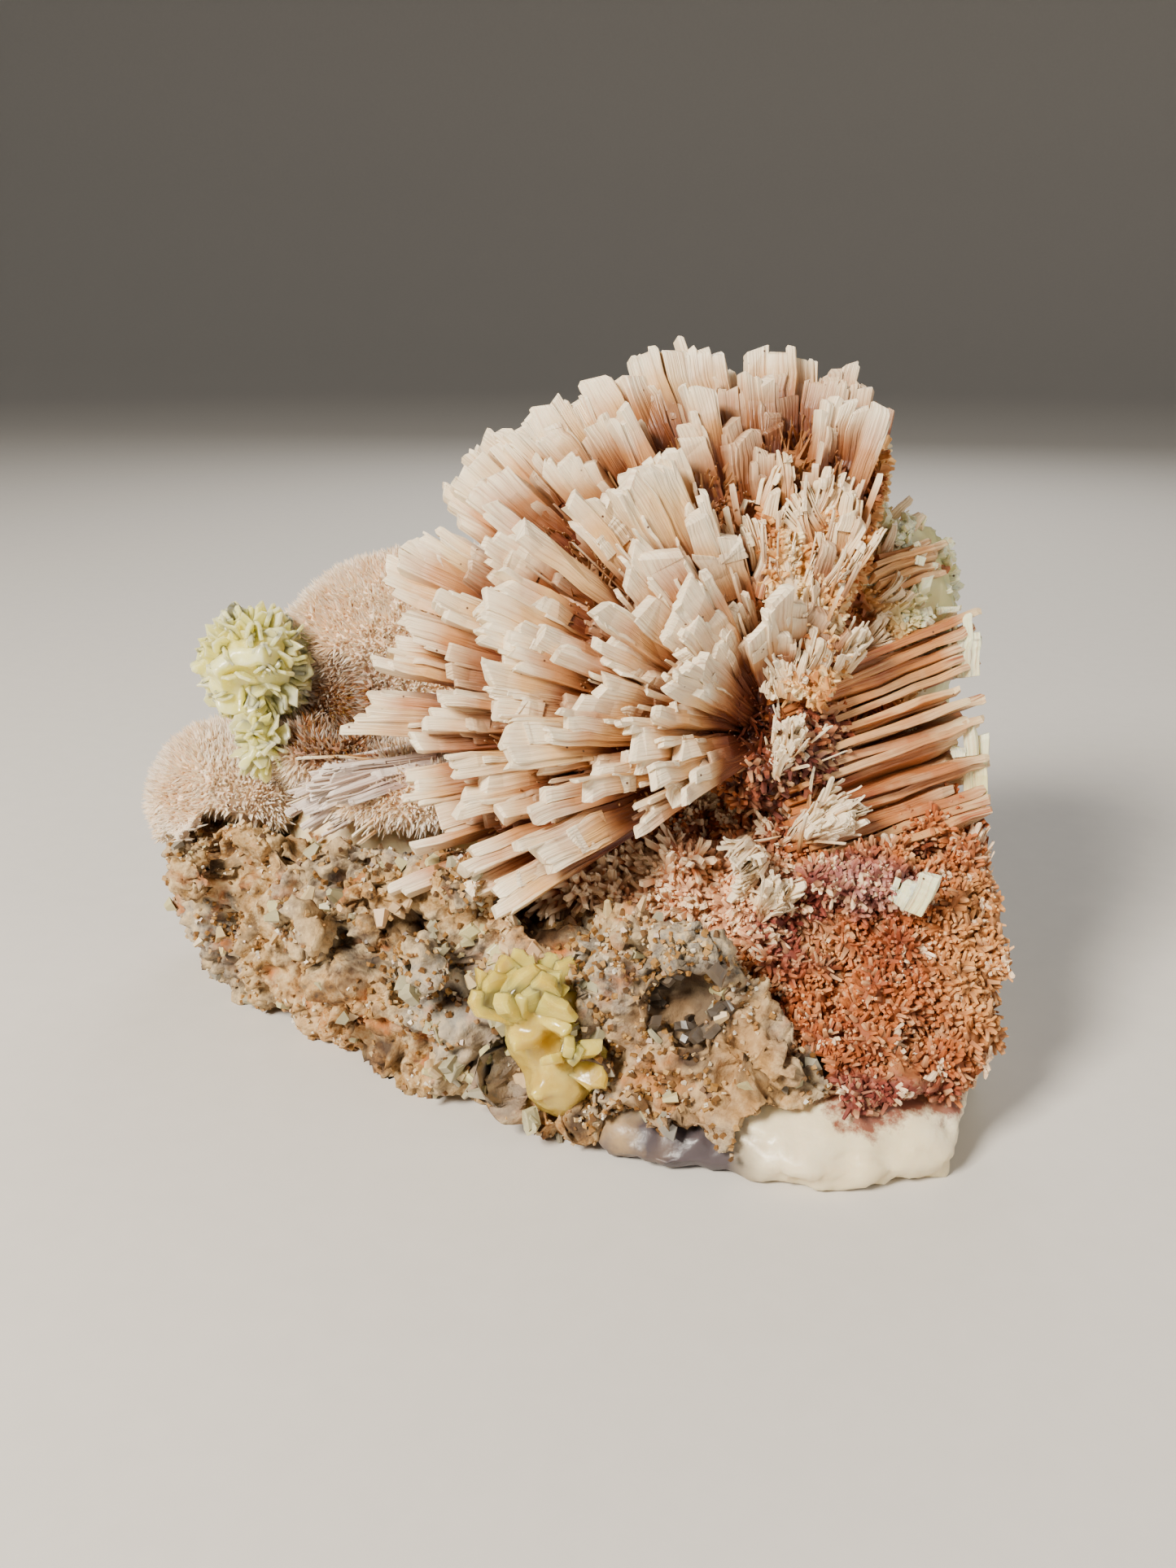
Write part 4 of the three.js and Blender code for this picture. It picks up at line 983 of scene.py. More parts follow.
# %% Druse tree
def druse_tree():
    tree = bpy.data.node_groups.new("needle_druse", "GeometryNodeTree")
    face = tree.interface
    face.new_socket("Geometry", in_out="INPUT", socket_type="NodeSocketGeometry")
    face.new_socket("Per square mm", in_out="INPUT", socket_type="NodeSocketFloat")
    for title in ("Length", "Width", "Tip share", "Tilt", "Bare right", "Patchiness", "Patch size"):
        face.new_socket(title, in_out="INPUT", socket_type="NodeSocketFloat").default_value = 0.0
    face.new_socket("Sides", in_out="INPUT", socket_type="NodeSocketInt")
    face.new_socket("Seed", in_out="INPUT", socket_type="NodeSocketInt")
    face.new_socket("Skin", in_out="INPUT", socket_type="NodeSocketMaterial")
    face.new_socket("Geometry", in_out="OUTPUT", socket_type="NodeSocketGeometry")
    given = add(tree, "NodeGroupInput").outputs
    density = add(tree, "ShaderNodeMath", {0: given["Per square mm"], 1: 1e6}, operation="MULTIPLY").outputs[0]
    facing = add(tree, "ShaderNodeSeparateXYZ", {0: add(tree, "GeometryNodeInputNormal").outputs[0]}).outputs
    rightward = add(tree, "ShaderNodeMapRange", {0: facing["X"], 1: 0.75, 2: 0.5}).outputs[0]
    right_share = add(tree, "ShaderNodeMix", {0: given["Bare right"], 2: 1.0, 3: rightward},
                      data_type="FLOAT").outputs[0]
    upward = add(tree, "ShaderNodeMapRange", {0: facing["Z"], 1: -0.8, 2: -0.5}).outputs[0]
    at = add(tree, "GeometryNodeInputPosition").outputs[0]
    per_metre = add(tree, "ShaderNodeMath", {0: 1.0, 1: given["Patch size"]}, operation="DIVIDE").outputs[0]
    spotted = add(tree, "ShaderNodeTexNoise", {"Vector": at, "Scale": per_metre, "Detail": 2.0}).outputs["Fac"]
    in_patch = add(tree, "ShaderNodeMapRange", {0: spotted, 1: 0.47, 2: 0.58}).outputs[0]
    patch_share = add(tree, "ShaderNodeMix", {0: given["Patchiness"], 2: 1.0, 3: in_patch},
                      data_type="FLOAT").outputs[0]
    growth = add(tree, "GeometryNodeInputNamedAttribute", {"Name": "growth"}, data_type="FLOAT").outputs
    growth_share = add(tree, "GeometryNodeSwitch", {"Switch": growth["Exists"], "False": 1.0,
                                                    "True": growth["Attribute"]}, input_type="FLOAT").outputs[0]
    for share in (right_share, upward, patch_share, growth_share):
        density = add(tree, "ShaderNodeMath", {0: density, 1: share}, operation="MULTIPLY").outputs[0]
    spots = add(tree, "GeometryNodeDistributePointsOnFaces",
                {"Mesh": given["Geometry"], "Density": density, "Seed": given["Seed"]},
                distribute_method="RANDOM")

    tip = add(tree, "ShaderNodeMath", {0: 0.5, 1: given["Tip share"]}, operation="MULTIPLY").outputs[0]
    needle = add(tree, "GeometryNodeMeshCone", {"Vertices": given["Sides"], "Radius Top": tip,
                                                "Radius Bottom": 0.5, "Depth": 1.0},
                 fill_type="NGON").outputs["Mesh"]
    on_needle = add(tree, "GeometryNodeInputPosition").outputs[0]
    rise = add(tree, "ShaderNodeSeparateXYZ", {0: on_needle}).outputs["Z"]
    needle = add(tree, "GeometryNodeStoreNamedAttribute", {"Geometry": needle, "Name": "rise", "Value": rise},
                 data_type="FLOAT", domain="POINT").outputs[0]
    turn = add(tree, "FunctionNodeRandomValue", {"Min": (-1, -1, -3.14), "Max": (1, 1, 3.14), "Seed": 3},
               data_type="FLOAT_VECTOR").outputs[0]
    tilted = add(tree, "ShaderNodeCombineXYZ", {0: given["Tilt"], 1: given["Tilt"], 2: 1.0}).outputs[0]
    turn = add(tree, "ShaderNodeVectorMath", {0: turn, 1: tilted}, operation="MULTIPLY").outputs[0]
    thick = add(tree, "FunctionNodeRandomValue", {2: 0.6, 3: 1.4, "Seed": 4}, data_type="FLOAT").outputs[1]
    wide = add(tree, "ShaderNodeMath", {0: given["Width"], 1: thick}, operation="MULTIPLY").outputs[0]
    tall = add(tree, "FunctionNodeRandomValue", {2: 0.45, 3: 1.0, "Seed": 5}, data_type="FLOAT").outputs[1]
    tall = add(tree, "ShaderNodeMath", {0: given["Length"], 1: tall}, operation="MULTIPLY").outputs[0]
    size = add(tree, "ShaderNodeCombineXYZ", {0: wide, 1: wide, 2: tall}).outputs[0]
    placed = add(tree, "GeometryNodeInstanceOnPoints", {"Points": spots.outputs["Points"], "Instance": needle,
                                                        "Rotation": spots.outputs["Rotation"], "Scale": size})
    placed = add(tree, "GeometryNodeRotateInstances", {"Instances": placed.outputs[0],
                                                       "Rotation": turn}).outputs[0]
    own = add(tree, "FunctionNodeRandomValue", {2: 0.0, 3: 1.0, "Seed": 6}, data_type="FLOAT").outputs[1]
    placed = add(tree, "GeometryNodeStoreNamedAttribute", {"Geometry": placed, "Name": "tint", "Value": own},
                 data_type="FLOAT", domain="INSTANCE").outputs[0]
    real = add(tree, "GeometryNodeRealizeInstances", {"Geometry": placed}).outputs[0]
    dressed = add(tree, "GeometryNodeSetMaterial", {"Geometry": real, "Material": given["Skin"]}).outputs[0]
    add(tree, "NodeGroupOutput", {"Geometry": dressed})
    return tree


druse = druse_tree()
print("druse tree with", len(druse.nodes), "nodes")


def druse_on(piece, name, **inputs):
    """A new piece of needles that stand on a copy of another piece."""
    copy = bpy.data.objects.new(name, piece.data.copy())
    bpy.context.scene.collection.objects.link(copy)
    return grown(copy, druse, **inputs)


# %% [markdown]
# ## The rusty bed
# Under the fan lies a druse of short blunt needles stained by iron: orange over most of it, maroon round the
# hollow and along the lower edge, and paler at the right. Under the fan it is lifted to a light peach: partly
# its own peach and partly painted light where the fan shades it. The ground between the needles, the needles'
# feet and the low parts of the relief are darker, which is painted shade between the needles and shows the
# grain from a step away.

# %% Bed material
ORANGE_RUST = [(0.30, "#8C3E1A"), (0.45, "#AE5A28"), (0.58, "#C47235"), (0.72, "#DC9C60")]
MAROON_RUST = [(0.3, "#5E1F1C"), (0.55, "#8E4032"), (0.75, "#B87058")]
DARKEST_RUST = [(0.3, "#34100E"), (0.55, "#5E241A"), (0.75, "#94502E")]
MAUVE_RUST = [(0.3, "#8A4A48"), (0.55, "#B87C74"), (0.75, "#DDB4A6")]
BED_STAINS_AND_PAINTED_LIGHT = {
    "pale right side": {"at": (48, -22, 20), "radii": (8, 14, 12), "strength": 0.8, "colour": "#DDA05A"},
    # Light peach under the fan: the bed's own peach, lifted as painted light where the fan shades it.
    "peach with painted light under the fan": {"at": (8, -22, 29), "radii": (19, 10, 8), "strength": 0.92, "colour": "#FCC69A"},
    "mauve ledge": {"at": (33, -23, 30), "radii": (9, 7, 4), "strength": 1, "colour": MAUVE_RUST},
    "below the hollow": {"at": (25, -25, 27), "radii": (6, 6, 8), "strength": 1, "colour": MAROON_RUST},
    "lower contact": {"at": (33, -38, 10), "radii": (15, 6, 3.5), "strength": 1, "colour": MAROON_RUST},
    "hollow of the fan": {"at": (27, -14, 41), "radii": (9, 11, 8), "strength": 1, "colour": DARKEST_RUST},
}


def rust_and_shade_material(name, ground):
    """Iron stain on zeolite needles, with painted shade between them and in their low parts, and painted light
    under the fan. It looks dull and grainy, with a little light in the tips.
    """
    material, tree, shader, place = start_material(
        name, Subsurface_Weight=0.12, Subsurface_Scale=0.7 * MM, Subsurface_Radius=SUBSURFACE_REACH,
        Roughness=0.7)
    patches = mottle(tree, place, 4.0, 4.0)
    fine = mottle(tree, place, 0.8, 2.0)
    coloured = add(tree, "ShaderNodeValToRGB", {0: patches}, stops=ORANGE_RUST).outputs[0]
    for stain in BED_STAINS_AND_PAINTED_LIGHT.values():
        colour = stain["colour"]
        if not isinstance(colour, str):
            colour = add(tree, "ShaderNodeValToRGB", {0: fine}, stops=colour).outputs[0]
        share = near(tree, place, stain["at"], stain["radii"], patches)
        coloured = coated(tree, coloured, (share, 0, 1, stain["strength"], colour))
    height = add(tree, "ShaderNodeAttribute", attribute_name="height").outputs["Fac"]
    # Darker in the low parts of the relief: painted shade.
    coloured = coated(tree, coloured, (height, 0.46, 0.12, 0.75, "#571C12"))
    # A dark ground and darker needle feet: painted shade between the needles.
    if ground:
        coloured = coated(tree, coloured, (0.5, 0, 1, 1, "#5A2414"))
    else:
        rise, tint = (add(tree, "ShaderNodeAttribute", attribute_name=key).outputs["Fac"]
                      for key in ("rise", "tint"))
        coloured = coated(tree, coloured, (tint, 0.5, 1.0, 0.6, "#EFC290"), (rise, 0.9, 0.1, 0.6, "#5C2210"))
    surfaced(tree, shader, coloured, relief=(fine, 0.3, 0.7))
    return material


bed_ground_material = rust_and_shade_material("iron_stained_ground", True)
bed_needle_material = rust_and_shade_material("iron_stained_needles", False)
print("stains on the bed:", ", ".join(BED_STAINS_AND_PAINTED_LIGHT))

# %% Bed ground and needles
bed_ground = grown(bed_carrier, relief, Lump_size=0.0060, Lump_height=0.0022, Grit_size=0.0019,
                   Grit_height=0.0009, Pit_size=0.0045, Pit_depth=0.0020, Sink=0.0012, Crack_depth=0.0,
                   Stone=bed_ground_material)
bed_needles = druse_on(bed_ground, "rusty_bed_needles", Per_square_mm=2.8, Length=0.0017, Width=0.00075,
                       Tip_share=0.55, Tilt=0.7, Sides=4, Seed=21, Bare_right=1.0, Skin=bed_needle_material)
print("values kept on the needles:", ", ".join(sorted(bed_needles.data.attributes.keys())))
finish_piece(bed_ground, "needle_bed")
finish_piece(bed_needles, "needle_bed")

# %% [markdown]
# Longer needles stand in small sprays between the fan and the rock, blunt and cream at their ends. A spray is a
# cone of splinters on a point of the bed, spread round the bed's own normal there.

# %% Sprays on the bed
def spray_paleness(points, from_tip):
    """Cream tips and rusty feet."""
    return 0.2 + 0.8 * eased(-from_tip, -3.2, -0.6)


def sprays_on(ground, name, node, material, low, high, count, needles, length, spread, seed,
              widths=(0.35, 0.8)):
    """Small cones of splinters on points of a surface that lie between two corners, low and high, in mm."""
    rng = np.random.default_rng(seed)
    data = ground.data
    points, normals = (np.empty(len(data.vertices) * 3, np.float32) for _ in range(2))
    data.vertices.foreach_get("co", points)
    data.vertex_normals.foreach_get("vector", normals)
    points, normals = points.reshape(-1, 3) / MM, normals.reshape(-1, 3)
    open_to_view = (normals[:, 1] < 0.3) & (points > low).all(axis=1) & (points < high).all(axis=1)
    picks = rng.choice(np.flatnonzero(open_to_view), count)
    rows = []
    for pick in picks:
        axis = unit(normals[pick] + rng.normal(0, 0.25, 3))
        own_length, own_tint = rng.uniform(*length), rng.uniform(0.2, 1.0)
        for i in range(needles):
            along, across, facing = leaning(axis, spread, rng)
            width = rng.uniform(*widths)
            rows.append((points[pick] - axis * 0.8 + rng.normal(0, 0.3, 3), along, across, facing,
                         own_length * rng.uniform(0.6, 1.1), width * 0.8, width, width * 0.8, own_tint))
    piece = blade_mesh(name, rows, SPLINTER_RINGS, SPLINTER_CORNERS, seed=seed, paleness=spray_paleness)
    finish_piece(piece, node, material)


SPRAY_ROOTS = [(0.0, "#6A2C18"), (0.3, "#A9582E"), (0.6, "#CB8350"), (1.0, "#DDA878")]
SPRAY_TINTS = [(0.0, "#BC7448"), (0.5, "#DC9A68"), (1.0, "#F0C296")]
spray_material = mordenite_material("mordenite_sprays", SPRAY_ROOTS, SPRAY_TINTS, blushing="#B4704C",
                                    tip="#F8D8B2", milk="#EEC8A2")
sprays_on(bed_ground, "bed_sprays", "needle_bed", spray_material,
          low=(-9, -40, 18), high=(26, 0, 40), count=190, needles=9, length=(1.6, 3.2), spread=42, seed=61,
          widths=(0.4, 0.95))
sprays_on(bed_ground, "bed_left_sprays", "needle_bed", spray_material,
          low=(-11, -26, 19), high=(13, -8, 31), count=120, needles=9, length=(3.0, 5.6), spread=40, seed=65,
          widths=(0.5, 1.1))
sprays_on(bed_ground, "bed_right_sprays", "needle_bed", spray_material,
          low=(24, -42, 8), high=(50, 0, 36), count=150, needles=8, length=(1.2, 2.2), spread=50, seed=62)

# %% [markdown]
# At the right the bed opens to a small fibrous hollow: pale yellow fibres spread over the surface from a brown
# spot at its edge.

# %% Fibrous hollow
HOLLOW_SPOT, HOLLOW_FIBRES = np.array([45.5, -15.5, 27.5]), 260
LEVEL, STEEP = np.array([0.8, 0.5, 0.0]), np.array([0.0, 0.55, 0.8])  # two directions along the bed there


def hollow_paleness(points, from_tip):
    """Brown at the spot where the fibres start."""
    return 0.15 + 0.95 * eased(np.linalg.norm(points - HOLLOW_SPOT, axis=-1), 1, 4)


hollow_rng = np.random.default_rng(63)
hollow_rows = []
for i in range(HOLLOW_FIBRES):
    turn = math.radians(hollow_rng.uniform(-200, 60))
    lift = hollow_rng.uniform(0.12, 0.55)
    along = unit(math.cos(turn) * LEVEL + math.sin(turn) * STEEP + lift * OUT)
    across = unit(np.cross(along, hollow_rng.normal(size=3)))
    width = hollow_rng.uniform(0.25, 0.6)
    root = HOLLOW_SPOT + along * hollow_rng.uniform(0.5, 2.0)
    length = hollow_rng.uniform(3.5, 7.5)
    hollow_rows.append((root, along, across, np.cross(along, across), length, width, width, width * 0.8,
                        hollow_rng.uniform(0.7, 1.0)))
hollow_fibres = blade_mesh("bed_hollow_fibres", hollow_rows, SPLINTER_RINGS, SPLINTER_CORNERS, seed=63,
                           paleness=hollow_paleness)
finish_piece(hollow_fibres, "needle_bed", spray_material)


# %% [markdown]
# ## Crust of the broken flank
# The crust is cream mordenite broken to grains, with iron in its crevices: orange-brown patches a few
# millimetres wide. It covers the flank and, as a second skin over the core, the part of the crown where the
# laths are gone. Elsewhere the core has the fan's own needles, and the bed's rusty ones in the hollow. A value
# named growth, from 0 to 1 on each point, says where needles grow. The thin plates at the ends of the ribs are
# the palest green, because they are clear enough to pass light.

# %% Crust material
def crust_material(name):
    """Granular mordenite with iron in its crevices. It looks like brown sugar on cream."""
    material, tree, shader, place = start_material(
        name, Subsurface_Weight=0.2, Subsurface_Scale=0.8 * MM, Subsurface_Radius=SUBSURFACE_REACH,
        Roughness=0.65)
    patches = mottle(tree, place, 3.6, 4.0)
    stained = add(tree, "ShaderNodeValToRGB", {0: patches}, stops=[
        (0.36, "#8A451C"), (0.44, "#BC7A3C"), (0.51, "#DCA866"), (0.60, "#F4DBAC")]).outputs[0]
    green = near(tree, place, (46, 4, 60), (11, 14, 18), patches)
    surfaced(tree, shader, coated(tree, stained, (green, 0, 1, 1, "#DAD69C")),
             relief=(mottle(tree, place, 0.7), 0.3, 0.7))
    return material


crust = crust_material("iron_stained_crust")
print("crust material with", len(crust.node_tree.nodes), "nodes")

# %% Crust on the broken crown
core_low = np.where(core_clock < 72, -8.0, 11.0)
low_crown = (eased(core_clock, 38, 50) * (1 - eased(core_clock, 96, 110)) * eased(core_lean - core_low, 0, 10)
             * (1 - eased(core_lean, 60, 68)))
crust_points = FAN_CENTRE + core_directions * between(5.0, core_reach + 4.6, low_crown)[:, None]
uneven = 1.1 * ripple(crust_points, 9, 3) + 0.8 * ripple(crust_points, 3.7, 6)
crust_points += core_directions * uneven[:, None]
crown_crust = mesh_piece("mordenite_crown_crust", crust_points, core_faces,
                         {"growth": eased(low_crown, 0.3, 0.8)})
crown_crust = grown(crown_crust, relief, Lump_size=0.005, Lump_height=0.0013, Grit_size=0.0013,
                    Grit_height=0.0006, Pit_size=0.005, Pit_depth=0.0012, Sink=0.0008, Crack_depth=0.0,
                    Stone=crust)
crown_grains = druse_on(crown_crust, "mordenite_crown_grains", Per_square_mm=2.6, Length=0.0017, Width=0.0010,
                        Tip_share=0.4, Tilt=0.8, Sides=4, Seed=27, Skin=crust)
for piece in (crown_crust, crown_grains):
    finish_piece(piece, "mordenite_fan")

# %% Needles and grains on the core
in_fan = eased(core_clock, 72, 80) * eased(core_inside, 0.3, 0.7)
needled = in_fan * (1 - eased(low_crown, 0.2, 0.6))
core.data.attributes.new("growth", "FLOAT", "POINT").data.foreach_set("value", needled.astype(np.float32))
core = grown(core, relief, Lump_size=0.004, Lump_height=0.0008, Grit_size=0.0012, Grit_height=0.0005,
             Pit_size=0.004, Pit_depth=0.0008, Sink=0.0006, Crack_depth=0.0, Stone=fan_material)
core_grains = druse_on(core, "mordenite_core_grains", Per_square_mm=1.1, Length=0.0034, Width=0.00065,
                       Tip_share=0.3, Tilt=0.35, Sides=3, Seed=24, Skin=fan_material)
core.data.attributes["growth"].data.foreach_set("value", (1 - in_fan).astype(np.float32))
hollow_grains = druse_on(core, "mordenite_hollow_grains", Per_square_mm=1.6, Length=0.0017, Width=0.0009,
                         Tip_share=0.5, Tilt=0.8, Sides=4, Seed=28, Skin=bed_needle_material)
for piece in (core, core_grains, hollow_grains):
    finish_piece(piece, "mordenite_fan")

# %% Flank crust and end plates
flank = mesh_piece("mordenite_flank", flank_points, flank_faces)
flank = grown(flank, relief, Lump_size=0.005, Lump_height=0.0009, Grit_size=0.0013, Grit_height=0.0006,
              Pit_size=0.005, Pit_depth=0.001, Sink=0.0008, Crack_depth=0.0, Stone=crust)
flank_grains = druse_on(flank, "mordenite_flank_grains", Per_square_mm=1.4, Length=0.0017, Width=0.0008,
                        Tip_share=0.4, Tilt=0.8, Sides=4, Seed=23, Skin=crust)
for piece in (flank, flank_grains):
    finish_piece(piece, "mordenite_fan")
GREEN_TINTS = [(0.0, "#CFC47E"), (0.5, "#E2DC98"), (1.0, "#EEEAB2")]
plate_material = mordenite_material("mordenite_pale_green_plates", ROOT_COLOURS, GREEN_TINTS,
                                    blushing="#DCCB98", tip="#F5F3CC", rust=0.5, glow=0.5)
plates = blade_mesh("mordenite_end_plates", plate_blades, seed=10,
                    paleness=lambda points, from_tip: np.ones(from_tip.shape))
finish_piece(plates, "mordenite_fan", plate_material)


# %% [markdown]
# ## The velvety lobes
# Each lobe is a ball of hair-fine mordenite needles packed so close that it looks like velvet: cream at the
# tips, and brown in the hollow of the upper lobe. Between the needles and at their feet it is a darker peach,
# which is painted shade. A dense druse of thin needles does this.

# %% Lobe material
LOBE_HOLLOW_AT, LOBE_HOLLOW_RADII = (-33.5, 3, 44), (10, 11, 9)


def velvet_material(name, ground):
    """Hair-fine mordenite. Light goes into the mass of needles, which gives the peach bloom of velvet."""
    material, tree, shader, place = start_material(
        name, Subsurface_Weight=0.4, Subsurface_Scale=1.2 * MM, Subsurface_Radius=SUBSURFACE_REACH,
        Roughness=0.62)
    patches = mottle(tree, place, 5.0, 3.0)
    peach = add(tree, "ShaderNodeValToRGB", {0: patches}, stops=[
        (0.3, "#F4CEA4"), (0.5, "#FAE2C2"), (0.7, "#FDF0DC")]).outputs[0]
    brown = add(tree, "ShaderNodeValToRGB", {0: mottle(tree, place, 1.2)}, stops=[
        (0.3, "#50260E"), (0.6, "#865020"), (0.8, "#B4824A")]).outputs[0]
    hollow = near(tree, place, LOBE_HOLLOW_AT, LOBE_HOLLOW_RADII, patches)
    coloured = coated(tree, peach, (hollow, 0, 1, 1, brown))
    if ground:
        # A darker ground between the needles: painted shade.
        coloured = coated(tree, coloured, (0.3, 0, 1, 1, "#B8805A"))
    else:
        rise, tint = (add(tree, "ShaderNodeAttribute", attribute_name=key).outputs["Fac"]
                      for key in ("rise", "tint"))
        # Random paler needles, and a darker peach towards the feet as painted shade between the needles.
        coloured = coated(tree, coloured, (tint, 0.3, 1.0, 0.5, "#FDF4E4"), (rise, 0.6, 0.0, 0.3, "#CF9660"))
    surfaced(tree, shader, coloured)
    return material


velvet_ground = velvet_material("mordenite_velvet_ground", True)
velvet_needles = velvet_material("mordenite_velvet_needles", False)
print("two velvet materials")

# %% Lobes
for node, name, seed in (("upper_lobe", "upper_velvet", 31), ("lower_lobe", "lower_velvet", 32)):
    ground = grown(carrier(node, name, 0.9), relief, Lump_size=0.008, Lump_height=0.0006, Grit_size=0.002,
                   Grit_height=0.0004, Pit_size=0.006, Pit_depth=0.0002, Sink=0.0012, Crack_depth=0.0,
                   Stone=velvet_ground)
    hairs = druse_on(ground, name + "_needles", Per_square_mm=6.0, Length=0.0019, Width=0.00056,
                     Tip_share=0.0, Tilt=0.3, Sides=3, Seed=seed, Skin=velvet_needles)
    finish_piece(ground, node)
    finish_piece(hairs, node)


# %% [markdown]
# ## Altered basalt
# The host rock has rotted to a crumbly mass: tan, ochre and grey, full of pits, with sugary grains of broken
# mineral and glassy grey-green ones stuck to it. The relief tree gives the pits and lumps. Three scatterings of
# small faceted grains give the sugar, the crumbs and the glass, and short sprays of thick prisms give the clear
# lumps at the left and the smoky crystals in the pocket.

# %% Basalt material
def basalt_material(name):
    """Rotted basalt: dry and dull, with ochre and grey zones, paler on its crests and dark in its pits, cracks
    and low parts, which is painted shade.
    """
    material, tree, shader, place = start_material(name, Roughness=0.9)
    broad = mottle(tree, place, 7.0, 4.0, 0.6)
    fine = mottle(tree, place, 0.9, 5.0, 0.7)
    region = mottle(tree, place, 12.0, 2.5)
    base = add(tree, "ShaderNodeValToRGB", {0: broad}, stops=[
        (0.32, "#4E3A24"), (0.42, "#8E6832"), (0.49, "#AE8A56"), (0.55, "#86745A"),
        (0.66, "#8A857A")]).outputs[0]
    hollow, height = (add(tree, "ShaderNodeAttribute", attribute_name=key).outputs["Fac"]
                      for key in ("hollow", "height"))
    coloured = coated(tree, base,
                      (region, 0.52, 0.60, 0.75, "#8C867C"),
                      (region, 0.46, 0.38, 0.6, "#B07434"),
                      (fine, 0.45, 0.68, 1, "#D2B88C"),
                      (fine, 0.46, 0.32, 1, "#4A3624"),
                      (mottle(tree, place, 3.0), 0.56, 0.7, 1, "#A8642C"),
                      # Dark brown in the low parts of the relief, which is painted shade, and paler on the
                      # crests.
                      (height, 0.44, 0.14, 0.85, "#573A1E"),
                      (height, 0.62, 0.95, 0.5, "#D9BC8E"),
                      (near(tree, place, (-13, -28, 14), (12, 11, 12), broad), 0, 1, 0.5, "#9C968A"),
                      (near(tree, place, (12, -34, 12), (14, 9, 12), broad), 0, 1, 0.4, "#BC8C50"),
                      (near(tree, place, (11, -31, 20), (5, 6, 6.5), broad), 0, 1, 0.8, "#4A3B2C"),
                      # Near black in the pits and cracks: painted shade.
                      (hollow, 0.25, 0.9, 0.9, "#35241A"))
    surfaced(tree, shader, coloured, relief=(fine, 0.5, 0.9))
    return material


def grain_material(name, colours, transmission):
    """Small broken grains, a little glossy, each with its own tint, so that they glint on the dull rock."""
    material, tree, shader, place = start_material(
        name, Transmission_Weight=transmission, IOR=1.5, Roughness=0.35, Subsurface_Weight=0.2,
        Subsurface_Scale=0.6 * MM, Subsurface_Radius=SUBSURFACE_REACH)
    tint = add(tree, "ShaderNodeAttribute", attribute_name="tint").outputs["Fac"]
    clear = add(tree, "ShaderNodeValToRGB", {0: tint}, stops=colours).outputs[0]
    cloudy = add(tree, "ShaderNodeMix", {0: mottle(tree, place, 0.7), 6: clear, 7: "#8A6A44"}, data_type="RGBA",
                 blend_type="MULTIPLY").outputs[2]
    surfaced(tree, shader, coated(tree, clear, (0.5, 0, 1, 1, cloudy)))
    return material


basalt = basalt_material("altered_basalt_rotted")
crumbs = grain_material("altered_basalt_crumbs", [
    (0.0, "#5A4022"), (0.3, "#80592C"), (0.6, "#A47A40"), (0.85, "#C09A60"), (1.0, "#DCC090")], 0.0)
sugar = grain_material("broken_zeolite_sugar", [
    (0.0, "#7E5C36"), (0.3, "#B98A50"), (0.6, "#D6B888"), (0.85, "#E9DCC0"), (1.0, "#F2EDE0")], 0.0)
glass_grains = grain_material("glassy_grey_green_grains", [
    (0.0, "#A29E94"), (0.35, "#C6C19C"), (0.7, "#E4DCA4"), (1.0, "#F0CBA0")], 0.15)
smoky_crystals = grain_material("smoky_glassy_crystals", [
    (0.0, "#3A332C"), (0.5, "#5C5248"), (1.0, "#847666")], 0.3)
print("basalt material with", len(basalt.node_tree.nodes), "nodes")

# %% Rock and its grains
rock = grown(carrier("altered_basalt", "basalt_rock", 0.47, 3), relief, Lump_size=0.0080, Lump_height=0.0021,
             Grit_size=0.0016, Grit_height=0.0008, Pit_size=0.0066, Pit_depth=0.0034, Sink=0.0008,
             Crack_size=0.012, Crack_depth=0.0020, Stone=basalt)
rock_sugar = druse_on(rock, "basalt_sugar", Per_square_mm=0.45, Length=0.0006, Width=0.0006, Tip_share=0.55,
                      Tilt=1.4, Sides=4, Seed=41, Patchiness=1.0, Patch_size=0.009, Skin=sugar)
rock_crumbs = druse_on(rock, "basalt_crumbs", Per_square_mm=0.42, Length=0.0007, Width=0.0009, Tip_share=0.6,
                       Tilt=1.5, Sides=4, Seed=43, Patchiness=0.97, Patch_size=0.013, Skin=crumbs)
rock_glass = druse_on(rock, "basalt_glass_grains", Per_square_mm=0.012, Length=0.0022, Width=0.0019,
                      Tip_share=0.45, Tilt=0.8, Sides=5, Seed=42, Skin=glass_grains)
sprays_on(rock, "basalt_clear_lumps", "altered_basalt", glass_grains,
          low=(-26, -38, 2), high=(-1, -16, 28), count=40, needles=3, length=(1.2, 2.4), spread=55, seed=68,
          widths=(1.4, 3.0))
for piece in (rock, rock_sugar, rock_crumbs, rock_glass):
    finish_piece(piece, "altered_basalt")
sprays_on(rock, "basalt_smoky_crystals", "altered_basalt", smoky_crystals,
          low=(7, -38, 15), high=(15, -26, 25), count=14, needles=2, length=(1.8, 3.0), spread=30, seed=67,
          widths=(1.2, 2.4))
